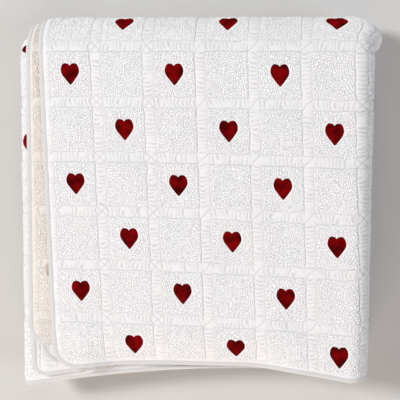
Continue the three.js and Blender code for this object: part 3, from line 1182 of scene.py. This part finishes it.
@dataclass(frozen=True)
class Skin:
    """A finely sewn stretch of the cloth's face or reverse."""

    name: str
    u: Span
    v: Span
    step: float
    sheet: Sheet = Sheet.FIRST
    reverse: bool = False
    unbleached: bool = False
    hearts: bool = False
    under_step: int = 16
    hem_fade: float = 6.0
    edge_fade: float = 6.0


@dataclass
class QuiltedPanel:
    """The cloth: one closed sheet through all its folds, with finely sewn skins where it shows."""

    fold: Fold
    quilting: Quilting
    finishes: Finishes
    sink: float = 1.2
    skin_thick: float = 1.6
    rest_fade: float = 60.0
    rest_relief: float = 0.3
    rest_sink: float = 0.85
    fine: float = 0.88
    middling: float = 1.05
    coarse: float = 2.0
    rest_side: float = 25.0
    seam_columns: tuple[int, int] = (2, 5)
    seam_rows: tuple[int, int] = (3, 5)
    hem_show: float = 70.0
    left_show: Span = (-8.0, 46.0)
    second_show: float = 52.0
    inner_show: float = 90.0
    fifth_start: float = 40.0
    flat_step: float = 18.0
    bend_step: float = 5.0
    length_step: float = 9.0
    turn_steps: int = 9
    flat_size: Span = (1.91, 2.17)
    slot: str = "quilted_cotton"

    def skins(self) -> list[Skin]:
        """The stretches that show, parted along seams.

        Returns:
            The skins in the order in which they are built.
        """
        fold, quilting = self.fold, self.quilting
        runs = fold.runs()
        half_u, half_v = quilting.half_block()
        left = fold.top.hem_x
        middle, right = (column * quilting.column_pitch + half_u for column in self.seam_columns)
        seam, brow = (row * quilting.row_pitch + half_v for row in self.seam_rows)
        hem, back, end = fold.hem_y, fold.back_end(), fold.back_end() + fold.bottom_length()
        side = (right, runs[Run.SIDE][1])
        opening = (runs[Run.OPEN][0] + self.left_show[0], runs[Run.OVER][0] + self.left_show[1])
        last = runs[Run.LAST][1]
        inner, front = (last - self.inner_show, last), (hem, hem + self.hem_show)
        fifth = (runs[Run.OVER][0] + self.fifth_start, runs[Run.OVER][1])
        halves = {"left": (left, middle), "right": (middle, right)}
        rows = {"top_front": (hem, seam), "top_back": (seam, brow)}
        skins = [Skin(f"{name}_{half}", across, along, self.fine, hearts=True)
                 for name, along in rows.items() for half, across in halves.items()]
        skins += [Skin(f"back_fold_{half}", across, (brow, back), self.middling, hearts=True)
                  for half, across in halves.items()]
        skins += [
            Skin("side_fold", side, (hem, back), self.middling, hearts=True, under_step=4),
            Skin("left_fold", opening, (hem, back), self.middling, under_step=4),
            Skin("left_fold_below", opening, (back, end), self.middling, under_step=4),
            Skin("side_fold_below", side, (back, end), self.middling, hearts=True, under_step=4),
        ]
        skins += [Skin(f"underside_{half}", across, (back, end), self.coarse, under_step=8)
                  for half, across in halves.items()]
        return skins + [
            Skin("second_layer", (left, left + self.second_show), (hem, back), self.fine, Sheet.SECOND,
                 reverse=True, unbleached=True),
            Skin("third_layer", inner, front, self.fine, Sheet.SECOND),
            Skin("fourth_layer", inner, front, self.fine, reverse=True),
            Skin("fifth_layer_hem", fifth, front, self.middling),
        ]

    def steps(self, span: Span, step: float) -> Array:
        """Evenly spaced places over a span, its ends among them."""
        return np.linspace(*span, max(2, round((span[1] - span[0]) / step) + 1))

    def skin(self, plan: Skin) -> Piece:
        """Build one skin as a thin closed shell.

        Args:
            plan: Where it lies and how fine it is.

        Returns:
            The piece.
        """
        fold = self.fold
        u = self.steps(plan.u, plan.step)[None, :]
        v = self.steps(plan.v, plan.step)
        along = fold.along(v, plan.sheet).column()
        height, groove = self.quilting.relief(u, v[:, None], plan.hearts)
        spans = fold.runs()
        bound = np.minimum(u - spans[Run.TOP][0], spans[Run.LAST][1] - u)
        calm = smooth(bound / plan.edge_fade) * smooth((v[:, None] - fold.hem_y) / plan.hem_fade)
        height = height * calm
        resting = smooth((v[:, None] - fold.back_end()) / self.rest_fade + 1)
        resting = resting * smooth((spans[Run.SIDE][0] - u) / self.rest_side + 1)
        height = lerp(height, self.rest_relief * height - self.rest_sink, resting)
        sign = -1.0 if plan.reverse else 1.0
        base = fold.reverse_out if plan.reverse else fold.face_out
        face = fold.place(u, along, base + sign * height)
        under = fold.place(u, along, np.full(height.shape, base - sign * self.skin_thick))
        columns = u.shape[1]
        kept = np.unique(np.append(np.arange(0, columns - 1, plan.under_step), columns - 1))
        points, faces = shell(face, under, kept)
        uv = np.stack(np.broadcast_arrays(u, v[:, None]), axis=-1) * MM
        flat = np.concatenate([uv.reshape(-1, 2), uv[:, kept].reshape(-1, 2)])
        # Painted shade, easing to the flat grey near the bound edges and the hem.
        shade = lerp(self.quilting.strip_tint, groove, calm)
        deep = np.concatenate([shade.ravel(), np.zeros(len(v) * len(kept))])
        flip = (plan.sheet is Sheet.SECOND) != plan.reverse
        mesh = write_mesh(plan.name, points, faces, flip, uv=flat, groove=deep)
        finish = self.finishes.backing if plan.unbleached else self.finishes.cloth
        return new_piece(plan.name, mesh, finish, self.slot)

    def along_loop(self, step: float) -> tuple[Along, Array]:
        """Places from the hem of the first sheet to the hem of the second, and their flat distances.

        Args:
            step: Distance from place to place.

        Returns:
            The places, and the distances.
        """
        fold = self.fold
        v = self.steps((fold.hem_y, fold.back_end() + fold.bottom_length()), step)
        first, second = fold.along(v), fold.along(v[::-1], Sheet.SECOND)
        turn = fold.end(np.linspace(0, math.pi, self.turn_steps))
        flat = np.concatenate([v, np.full(self.turn_steps, v[-1]), v[::-1]])
        return Along.joined(first, turn, second), flat

    def body(self) -> Piece:
        """The sheet itself, a little thinner than the skins that lie on it.

        Returns:
            The piece.
        """
        fold = self.fold
        u = np.unique(np.concatenate([
            self.steps(span, self.bend_step if run.value % 2 else self.flat_step)
            for run, span in fold.runs().items()]))[None, :]
        along, v = self.along_loop(self.length_step)
        face = fold.place(u, along.column(), fold.face_out - self.sink + 0.0 * u)
        under = fold.place(u, along.column(), fold.reverse_out + self.sink + 0.0 * u)
        points, faces = shell(face, under, np.arange(u.shape[1]))
        uv = np.stack(np.broadcast_arrays(u, v[:, None]), axis=-1).reshape(-1, 2) * MM
        # The hidden sheet carries the flat painted grey of plain cloth.
        deep = np.full(len(points), self.quilting.strip_tint)
        mesh = write_mesh("quilt_sheet", points, faces, uv=np.concatenate([uv, uv]), groove=deep)
        return new_piece("quilt_sheet", mesh, self.finishes.cloth, self.slot)

    def build(self) -> list[Piece]:
        """Build the sheet and its skins; the sheet comes first.

        Returns:
            The pieces.
        """
        pieces = [self.body()] + [self.skin(plan) for plan in self.skins()]
        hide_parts("quilt")
        return pieces


@dataclass
class EdgeBinding:
    """The rounded strip that wraps the whole edge of the cloth."""

    fold: Fold
    panel: QuiltedPanel
    finishes: Finishes
    inner: float = -1.7
    outer: float = 6.9
    half_height: float = 3.3
    squareness: float = 2.6
    sides: int = 14
    step: float = 3.5
    corner_steps: int = 14
    pucker: float = 0.05
    pucker_fine: Span = (0.6, 3.1)
    pucker_slow: Span = (0.8, 7.7)
    pucker_drift: float = 17.0
    corner_gap: float = 1.0
    least_step: float = 0.2
    strip_step: float = 1.6
    slot: str = "binding_cotton"

    def across(self) -> Array:
        """Places across the cloth for the hems, closer together at the rounded corners.

        Returns:
            Distances across the flat cloth.
        """
        runs = self.fold.runs()
        bend = np.linspace(0, math.pi / 2, self.corner_steps)
        first = runs[Run.TOP][0] + self.fold.top.corner * (1 - np.cos(bend))
        last = runs[Run.LAST][1] - self.fold.third.corner * (1 - np.cos(bend))
        between = (first[-1] + self.corner_gap, last[-1] - self.corner_gap)
        return np.concatenate([first, self.panel.steps(between, self.step), last[::-1]])

    def loop(self) -> tuple[Array, Along]:
        """Places round the four edges of the cloth, as one loop.

        Returns:
            Distances across the flat cloth, and the places along it.
        """
        fold = self.fold
        u = self.across()
        along, _ = self.panel.along_loop(self.step)
        hems = [fold.along(np.full(len(u) - 2, fold.hem_y), sheet) for sheet in (Sheet.SECOND, Sheet.FIRST)]
        sides = [(np.full(len(along.part), u[0]), along), (u[1:-1], hems[0])]
        back = Along(along.part[::-1], along.at[::-1], along.turn[::-1])
        sides += [(np.full(len(along.part), u[-1]), back), (u[-2:0:-1], hems[1])]
        places = np.concatenate([place for place, _ in sides])
        return places, Along.joined(*(line for _, line in sides))

    def build(self) -> Piece:
        """Sweep the rounded section round the loop, with small puckers.

        Returns:
            The piece.
        """
        fold = self.fold
        u, along = self.loop()
        middle = fold.place(u, along, np.full(u.shape, fold.half_pitch))
        normal = fold.place(u, along, np.full(u.shape, fold.face_out)) - middle
        keep = np.linalg.norm(middle - np.roll(middle, 1, axis=0), axis=1) > self.least_step * MM
        middle, normal = middle[keep], normal[keep]
        before, after = middle - np.roll(middle, 1, axis=0), np.roll(middle, -1, axis=0) - middle
        tangent = self.unit(self.unit(before) + self.unit(after))
        outward = self.unit(np.cross(self.unit(normal), tangent))
        upright = np.cross(tangent, outward)
        travel = np.cumsum(np.linalg.norm(before, axis=1)) / MM
        (fine, fine_wave), (slow, slow_wave) = self.pucker_fine, self.pucker_slow
        drift = np.sin(travel / self.pucker_drift)
        beat = fine * np.sin(travel / fine_wave + drift) + slow * np.sin(travel / slow_wave)
        swell = 1 + self.pucker * beat
        turn = np.linspace(0, 2 * math.pi, self.sides, endpoint=False)
        power = 2 / self.squareness
        reach = (self.outer - self.inner) / 2
        cos, sin = np.cos(turn), np.sin(turn)
        out = (self.outer + self.inner) / 2 + reach * np.sign(cos) * np.abs(cos) ** power
        rise = self.half_height * np.sign(sin) * np.abs(sin) ** power
        points = (middle[:, None] + outward[:, None] * out[None, :, None] * MM
                  + upright[:, None] * (rise[None, :] * swell[:, None])[:, :, None] * MM)
        count = len(middle)
        ring = np.arange(count * self.sides).reshape(count, self.sides)
        after_ring = np.roll(ring, -1, axis=0)
        faces = Faces()
        faces.quads(ring, np.roll(ring, -1, axis=1), np.roll(after_ring, -1, axis=1), after_ring)
        across = np.broadcast_to(np.arange(self.sides) * self.strip_step, (count, self.sides))
        uv = np.stack([across, np.broadcast_to(travel[:, None], across.shape)], axis=-1).reshape(-1, 2) * MM
        points, groove = points.reshape(-1, 3), np.zeros(count * self.sides)
        mesh = write_mesh("edge_binding", points, faces, uv=uv, groove=groove)
        piece = new_piece("edge_binding", mesh, self.finishes.binding, self.slot)
        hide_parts("binding")
        return piece

    @staticmethod
    def unit(vectors: Array) -> Array:
        """Vectors made one long."""
        return vectors / np.maximum(np.linalg.norm(vectors, axis=-1, keepdims=True), 1e-12)


class Threads(Enum):
    """Ways of laying thread along a path."""

    STRAND = "laid_strands"
    STITCH = "running_stitches"


@dataclass
class Threadwork:
    """Geometry Nodes trees that lay thread along paths."""

    strand_sides: int = 5

    def __post_init__(self) -> None:
        """Build both trees."""
        self.trees = {kind: self.tree(kind) for kind in Threads}

    def tree(self, kind: Threads) -> Tree:
        """Build a tree with named inputs.

        Args:
            kind: Whole strands along the paths, or separate stitches.

        Returns:
            The node tree, ending in realised geometry with its material.
        """
        tree = bpy.data.node_groups.new(kind.value, "GeometryNodeTree")
        sockets = {"Geometry": "Geometry", "Thickness": "Float", "Length": "Float", "Spacing": "Float",
                   "Material": "Material"}
        for label, socket in sockets.items():
            tree.interface.new_socket(label, in_out="INPUT", socket_type=f"NodeSocket{socket}")
        tree.interface.new_socket("Geometry", in_out="OUTPUT", socket_type="NodeSocketGeometry")
        given = add(tree, "NodeGroupInput").outputs
        path = add(tree, "GeometryNodeMeshToCurve", {"Mesh": given["Geometry"]})
        if kind is Threads.STRAND:
            profile = add(tree, "GeometryNodeCurvePrimitiveCircle", {
                "Resolution": self.strand_sides, "Radius": given["Thickness"]})
            laid = add(tree, "GeometryNodeCurveToMesh", {
                "Curve": path.outputs[0], "Profile Curve": profile.outputs[0], "Fill Caps": True})
        else:
            points = add(tree, "GeometryNodeCurveToPoints", {
                "Curve": path.outputs[0], "Length": given["Spacing"]}, mode="LENGTH")
            bead = add(tree, "GeometryNodeMeshIcoSphere", {"Radius": 1.0, "Subdivisions": 1})
            size = add(tree, "ShaderNodeCombineXYZ", {
                "X": given["Thickness"], "Y": given["Thickness"], "Z": given["Length"]})
            laid = add(tree, "GeometryNodeInstanceOnPoints", {
                "Points": points.outputs["Points"], "Instance": bead.outputs["Mesh"],
                "Rotation": points.outputs["Rotation"], "Scale": size.outputs[0]})
        real = add(tree, "GeometryNodeRealizeInstances", {"Geometry": laid.outputs[0]})
        soft = add(tree, "GeometryNodeSetShadeSmooth", {"Geometry": real.outputs[0]})
        dyed = add(tree, "GeometryNodeSetMaterial", {
            "Geometry": soft.outputs[0], "Material": given["Material"]})
        add(tree, "NodeGroupOutput", {"Geometry": dyed.outputs[0]})
        return tree

    def lay(self, kind: Threads, paths: Sequence[Array], crowns: Sequence[Array],
            sizes: dict[str, object]) -> Mesh:
        """Lay thread along paths.

        Args:
            kind: The way of laying it.
            paths: Points of each path in metres.
            crowns: Share of painted light at each point, low at the sewn rim and higher towards the crown.
            sizes: The tree's inputs by name, in metres, and its material.

        Returns:
            A plain mesh.
        """
        mesh = bpy.data.meshes.new("thread_paths")
        starts = np.cumsum([0] + [len(path) for path in paths])
        edges = [(start + k, start + k + 1)
                 for start, path in zip(starts, paths) for k in range(len(path) - 1)]
        mesh.from_pydata(np.concatenate(paths).tolist(), edges, [])
        mesh.attributes.new("crown", "FLOAT", "POINT").data.foreach_set(
            "value", np.concatenate(crowns).astype(np.float32))
        carrier = bpy.data.objects.new("thread_paths", mesh)
        bpy.context.scene.collection.objects.link(carrier)
        modifier = carrier.modifiers.new(kind.value, "NODES")
        tree = self.trees[kind]
        modifier.node_group = tree
        names = {item.name: item.identifier for item in tree.interface.items_tree if item.in_out == "INPUT"}
        for label, value in sizes.items():
            modifier[names[label]] = value
        graph = bpy.context.evaluated_depsgraph_get()
        made = bpy.data.meshes.new_from_object(carrier.evaluated_get(graph))
        carrier.modifiers.remove(modifier)
        bpy.data.objects.remove(carrier)
        bpy.data.meshes.remove(mesh)
        return made


@dataclass(frozen=True)
class HeartSpot:
    """Where a heart is sewn on the flat cloth, and how far it is lifted and shortened there."""

    name: str
    centre: Span
    sheet: Sheet = Sheet.FIRST
    reverse: bool = False
    lift: float = 0.0
    squash: float = 1.0


@dataclass
class Hearts:
    """The hearts: padded satin stitch in two halves, with the rows of thread laid over the padding."""

    fold: Fold
    quilting: Quilting
    finishes: Finishes
    threads: Threadwork
    pad: float = 0.8
    edge_round: float = 4.2
    middle_dip: float = 0.1
    dip_width: float = 1.3
    crown_reach: float = 1.6
    ground: float = 0.3
    depth: float = 1.2
    rows: int = 26
    columns: int = 9
    row_pitch: float = 0.9
    row_slant: float = 0.14
    row_round: float = 2.0
    tip_share: float = 0.497
    least_width: float = 0.12
    strand: float = 0.5
    strand_points: int = 13
    strand_inset: float = 0.1
    scan_points: int = 320
    least_span: int = 12
    over_stipple: float = 0.9
    side_column: int = 6
    side_rows: tuple[int, ...] = (1, 3, 5, 9, 11, 13)
    back_row: int = 7
    back_columns: tuple[int, ...] = (0, 2, 4)
    left_column: int = 13
    left_shift: float = 8.0
    left_places: tuple[float, ...] = (296.0, 443.0)
    back_place: Span = (-5.0, 105.0)
    # Painted light on the satin: a low share of the bright colour at the sewn rim, rising towards the
    # crown.
    rim_share: float = 0.05
    crown_share: float = 0.1
    front_height: float = 0.95
    slot: str = "satin_thread"

    def dome(self, x: Array, y: Array) -> tuple[Array, Array]:
        """Height of the padding and share of painted light, shaded at the rim and lighter at the crown, for
        places about the heart's centre.

        Args:
            x: Distances across from the heart's centre.
            y: Distances along from it.

        Returns:
            The heights, and the shares of painted light.
        """
        inside = np.maximum(-self.quilting.heart.outside(x, y), 0.0)
        bend = clamp01(inside / self.edge_round)
        dip = 1 - self.middle_dip * bell(x / self.dip_width)
        # Painted light: darker at the sewn rim, lighter towards the crown.
        crown = self.rim_share + self.crown_share * smooth(inside / (self.crown_reach * self.edge_round))
        return self.pad * np.sqrt(bend * (2 - bend)) * dip, crown

    def place(self, x: Array, y: Array, spot: HeartSpot, height: Array) -> Array:
        """Put places about a heart's centre on the folded cloth.

        Args:
            x: Distances across from the heart's centre.
            y: Distances along from it.
            spot: Where the heart is sewn.
            height: Heights above its ground.

        Returns:
            Points in metres.
        """
        fold = self.fold
        u, v = spot.centre[0] + x, spot.centre[1] + y * spot.squash
        proud = self.ground + spot.lift + self.quilting.unevenness(u, v) + height
        out = fold.reverse_out - proud if spot.reverse else fold.face_out + proud
        return fold.place(u, fold.along(v, spot.sheet), out)

    def padding(self, spot: HeartSpot, side: int) -> tuple[Array, Faces, Array]:
        """The padded ground of one half.

        Args:
            spot: Where the heart is sewn.
            side: 1 for the right half and -1 for the left.

        Returns:
            Points and faces of a closed shell, and each point's share of painted light.
        """
        shape = self.quilting.heart
        y = np.linspace(-self.tip_share, self.tip_share, self.rows)[:, None] * shape.height
        inner, outer = shape.half_widths(y)
        outer = np.maximum(outer, inner + self.least_width)
        share = np.linspace(0, 1, self.columns)[None, :]
        x = lerp(inner, outer, share) * side
        y = np.broadcast_to(y, x.shape)
        height, crown = self.dome(x, y)
        kept = np.array([0, self.columns - 1])
        under = self.place(x, y, spot, -self.depth + 0 * x)
        points, faces = shell(self.place(x, y, spot, height), under, kept)
        return points, faces, np.concatenate([crown.ravel(), np.full(len(y) * 2, self.rim_share)])

    def strands(self, spot: HeartSpot) -> tuple[list[Array], list[Array]]:
        """Paths of the rows of thread, slanting up to the outline, and their shares of painted light.

        Args:
            spot: Where the heart is sewn.

        Returns:
            Points of each path in metres, and their shares of painted light.
        """
        shape = self.quilting.heart
        paths, crowns = [], []
        scan = np.linspace(-shape.width / 2, shape.width / 2, self.scan_points)
        for start in np.arange(-shape.height, shape.height / 2, self.row_pitch):
            y = start + self.row_slant * (np.sqrt(scan**2 + self.row_round**2) - self.row_round)
            inside = (shape.outside(scan, y) < -self.strand_inset) & (np.abs(y) < shape.height / 2)
            breaks = np.flatnonzero(np.diff(inside.astype(int)))
            for span in np.split(np.arange(len(scan)), breaks + 1):
                if len(span) < self.least_span or not inside[span[0]]:
                    continue
                pick = np.linspace(span[0], span[-1], self.strand_points).round().astype(int)
                height, crown = self.dome(scan[pick], y[pick])
                height[[0, -1]] -= self.strand
                paths.append(self.place(scan[pick], y[pick], spot, height))
                crowns.append(crown)
        return paths, crowns

    def heart(self, spot: HeartSpot) -> Piece:
        """One heart, its padding and its thread in one piece.

        Args:
            spot: Where the heart is sewn.

        Returns:
            The piece.
        """
        thread = self.finishes.bobbin if spot.reverse else self.finishes.hearts
        joined = bmesh.new()
        for side in (1, -1):
            points, faces, crown = self.padding(spot, side)
            half = write_mesh("heart_half", points, faces, flip=side < 0, crown=crown)
            joined.from_mesh(half)
            bpy.data.meshes.remove(half)
        paths, crowns = self.strands(spot)
        laid = self.threads.lay(Threads.STRAND, paths, crowns, {
            "Thickness": self.strand * MM, "Material": thread})
        joined.from_mesh(laid)
        bpy.data.meshes.remove(laid)
        mesh = bpy.data.meshes.new(spot.name)
        joined.to_mesh(mesh)
        joined.free()
        return new_piece(spot.name, mesh, thread, self.slot)

    def on_folds(self) -> list[HeartSpot]:
        """Hearts that show where the cloth turns over, and the back of one on the second layer.

        Returns:
            Where they are sewn.
        """
        across, along = self.quilting.column_pitch, self.quilting.row_pitch
        blocks = [(row, self.side_column) for row in self.side_rows]
        blocks += [(self.back_row, column) for column in self.back_columns]
        spots = [HeartSpot(f"fold_heart_r{row}_c{column}", (column * across, row * along))
                 for row, column in blocks]
        left = self.left_column * across + self.left_shift
        spots += [HeartSpot(f"left_heart_{k}", (left, v), lift=self.over_stipple)
                  for k, v in enumerate(self.left_places)]
        spots.append(HeartSpot(
            "heart_back", self.back_place, Sheet.SECOND, reverse=True, lift=self.over_stipple))
        return spots

    def build(self, nodes: Sequence[str]) -> list[Piece]:
        """Build the hearts on the layer on top, each in its node's place, then those on the folds.

        Args:
            nodes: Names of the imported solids.

        Returns:
            The pieces.
        """
        quilting = self.quilting
        pieces = []
        for node in sorted(name for name in nodes if name.startswith("heart_")):
            row, column = (int(word[1:]) for word in node.split("_")[1:])
            centre = (column * quilting.column_pitch, row * quilting.row_pitch)
            piece = self.heart(HeartSpot(f"satin_{node}", centre, squash=1.0 if row else self.front_height))
            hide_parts(node)
            pieces.append(piece)
        return pieces + [self.heart(spot) for spot in self.on_folds()]


@dataclass
class SeamStitches:
    """Running stitches in the seams between blocks and sash strips."""

    fold: Fold
    quilting: Quilting
    finishes: Finishes
    threads: Threadwork
    spacing: float = 3.4
    length: float = 1.15
    thick: float = 0.26
    proud: float = 0.1
    back_angle: float = 1.9
    side_reach: float = 30.0
    edge_gap: float = 8.0
    step: float = 1.2
    columns: int = 6
    rows: int = 7
    slot: str = "quilted_cotton"

    @staticmethod
    def seams(pitch: float, half: float, count: int, span: Span) -> list[float]:
        """Places of the seams on both sides of each block that lie within a span."""
        places = [k * pitch + side * half for k in range(count) for side in (-1, 1)]
        return [at for at in places if span[0] < at < span[1]]

    def line(self, u: Array, v: Array) -> Array:
        """Put a line of stitches in its groove on the top layer.

        Args:
            u: Distances across the flat cloth.
            v: Distances along it.

        Returns:
            Points in metres.
        """
        height, _ = self.quilting.relief(u, v)
        out = self.fold.face_out + height + self.proud
        return self.fold.place(u, self.fold.along(v), out)

    def build(self) -> Piece:
        """Lay stitches along every seam that shows on top and over the back fold.

        Returns:
            The piece.
        """
        fold, quilting = self.fold, self.quilting
        u_end = fold.runs()[Run.SIDE][0] + self.side_reach
        v_end = fold.back_fold_y + self.back_angle * fold.back_radius
        u = np.arange(fold.top.hem_x + self.edge_gap, u_end, self.step)
        v = np.arange(fold.hem_y + self.edge_gap, v_end, self.step)
        half_u, half_v = quilting.half_block()
        paths = []
        for at in self.seams(quilting.column_pitch, half_u, self.columns, (u[0], u_end)):
            paths.append(self.line(at - quilting.stray * quilting.ripple(np.full(v.shape, at), v), v))
        for at in self.seams(quilting.row_pitch, half_v, self.rows, (v[0], v_end)):
            stray = quilting.ripple(np.full(u.shape, at) + quilting.stray_shift, u)
            paths.append(self.line(u, at - quilting.stray * stray))
        mesh = self.threads.lay(Threads.STITCH, paths, [np.zeros(len(path)) for path in paths], {
            "Spacing": self.spacing * MM, "Length": self.length * MM, "Thickness": self.thick * MM,
            "Material": self.finishes.stitches})
        return new_piece("seam_stitches", mesh, self.finishes.stitches, self.slot)


@dataclass(frozen=True)
class Lamp:
    """A soft square light: where it hangs and how wide it is, in metres, its watts and its colour."""

    name: str
    place: Point
    size: float
    watts: float
    colour: str


@dataclass
class Stage:
    """Floor, soft light and a camera above the quilt, as in the photograph."""

    camera_mm: Point = (95.0, 123.0, 1345.0)
    target_mm: Point = (6.0, 12.0, 100.0)
    roll_degrees: float = 0.35
    lens: float = 76.5
    sensor: float = 36.0
    floor_size: float = 12.0
    clip: Span = (0.05, 50.0)
    sky_colour: str = "#FBFBFC"
    sky_strength: float = 0.19
    lamps: tuple[Lamp, ...] = (
        Lamp("key", (-3.3, 1.3, 3.4), 1.0, 186.0, "#FFFFFF"),
        Lamp("fill", (3.4, -0.6, 2.4), 2.0, 48.0, "#EEF3FF"),
        Lamp("front", (-0.2, -2.6, 1.0), 1.8, 50.0, "#FFEAD9"),
        Lamp("back", (0.5, 3.0, 1.6), 2.0, 22.0, "#FFFAF6"),
    )

    def floor(self) -> None:
        """A pale floor under the quilt."""
        half = self.floor_size / 2
        mesh = bpy.data.meshes.new("floor")
        corners = [(-half, -half, 0), (half, -half, 0), (half, half, 0), (-half, half, 0)]
        mesh.from_pydata(corners, [], [(0, 1, 2, 3)])
        floor = bpy.data.objects.new("floor", mesh)
        bpy.context.scene.collection.objects.link(floor)
        mesh.materials.append(StudioFloor().material())
        floor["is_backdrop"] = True

    def camera(self) -> None:
        """Look down on the quilt from the photograph's side."""
        data = bpy.data.cameras.new("camera")
        data.lens, data.sensor_width, data.sensor_fit = self.lens, self.sensor, "HORIZONTAL"
        data.clip_start, data.clip_end = self.clip
        camera = bpy.data.objects.new("camera", data)
        place, target = Vector(self.camera_mm) * MM, Vector(self.target_mm) * MM
        back = (place - target).normalized()
        right = Vector((0, 1, 0)).cross(back).normalized()
        up = back.cross(right)
        turn = Matrix((right, up, back)).transposed()
        roll = Matrix.Rotation(math.radians(self.roll_degrees), 3, "Z")
        camera.matrix_world = Matrix.Translation(place) @ (turn @ roll).to_4x4()
        bpy.context.scene.collection.objects.link(camera)
        bpy.context.scene.camera = camera

    def light(self, lamp: Lamp) -> None:
        """Hang a light so that it faces the quilt.

        Args:
            lamp: The light to hang.
        """
        data = bpy.data.lights.new(lamp.name, "AREA")
        data.size, data.energy, data.color = lamp.size, lamp.watts, linear(lamp.colour)[:3]
        hung = bpy.data.objects.new(lamp.name, data)
        hung.location = lamp.place
        hung.rotation_euler = (-Vector(lamp.place)).to_track_quat("-Z", "Y").to_euler()
        bpy.context.scene.collection.objects.link(hung)

    def sky(self) -> None:
        """Faint even light from all round."""
        world = bpy.data.worlds.new("studio")
        world.use_nodes = True
        sky = next(item for item in world.node_tree.nodes if item.type == "BACKGROUND")
        sky.inputs["Color"].default_value = linear(self.sky_colour)
        sky.inputs["Strength"].default_value = self.sky_strength
        bpy.context.scene.world = world

    def build(self) -> None:
        """Set the stage."""
        self.floor()
        self.camera()
        for lamp in self.lamps:
            self.light(lamp)
        self.sky()
        bpy.context.scene.view_settings.view_transform = "Standard"


def main() -> None:
    """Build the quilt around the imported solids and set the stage."""
    logging.basicConfig(level=logging.INFO, format="%(name)s %(message)s")
    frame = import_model()
    solid_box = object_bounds()
    fold, quilting, finishes, threads = Fold(), Quilting(), Finishes(), Threadwork()
    panel = QuiltedPanel(fold, quilting, finishes)
    sheet, *skins = panel.build()
    binding = EdgeBinding(fold, panel, finishes).build()
    stitches = SeamStitches(fold, quilting, finishes, threads).build()
    hearts = Hearts(fold, quilting, finishes, threads).build(list(frame["nodes"]))
    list(skins)
    Stage().build()
    boxes = {"solids": solid_box, "shown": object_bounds()}
    {key: [list(map(float, corner)) for corner in box] for key, box in boxes.items()}


if __name__ == "__main__":
    main()
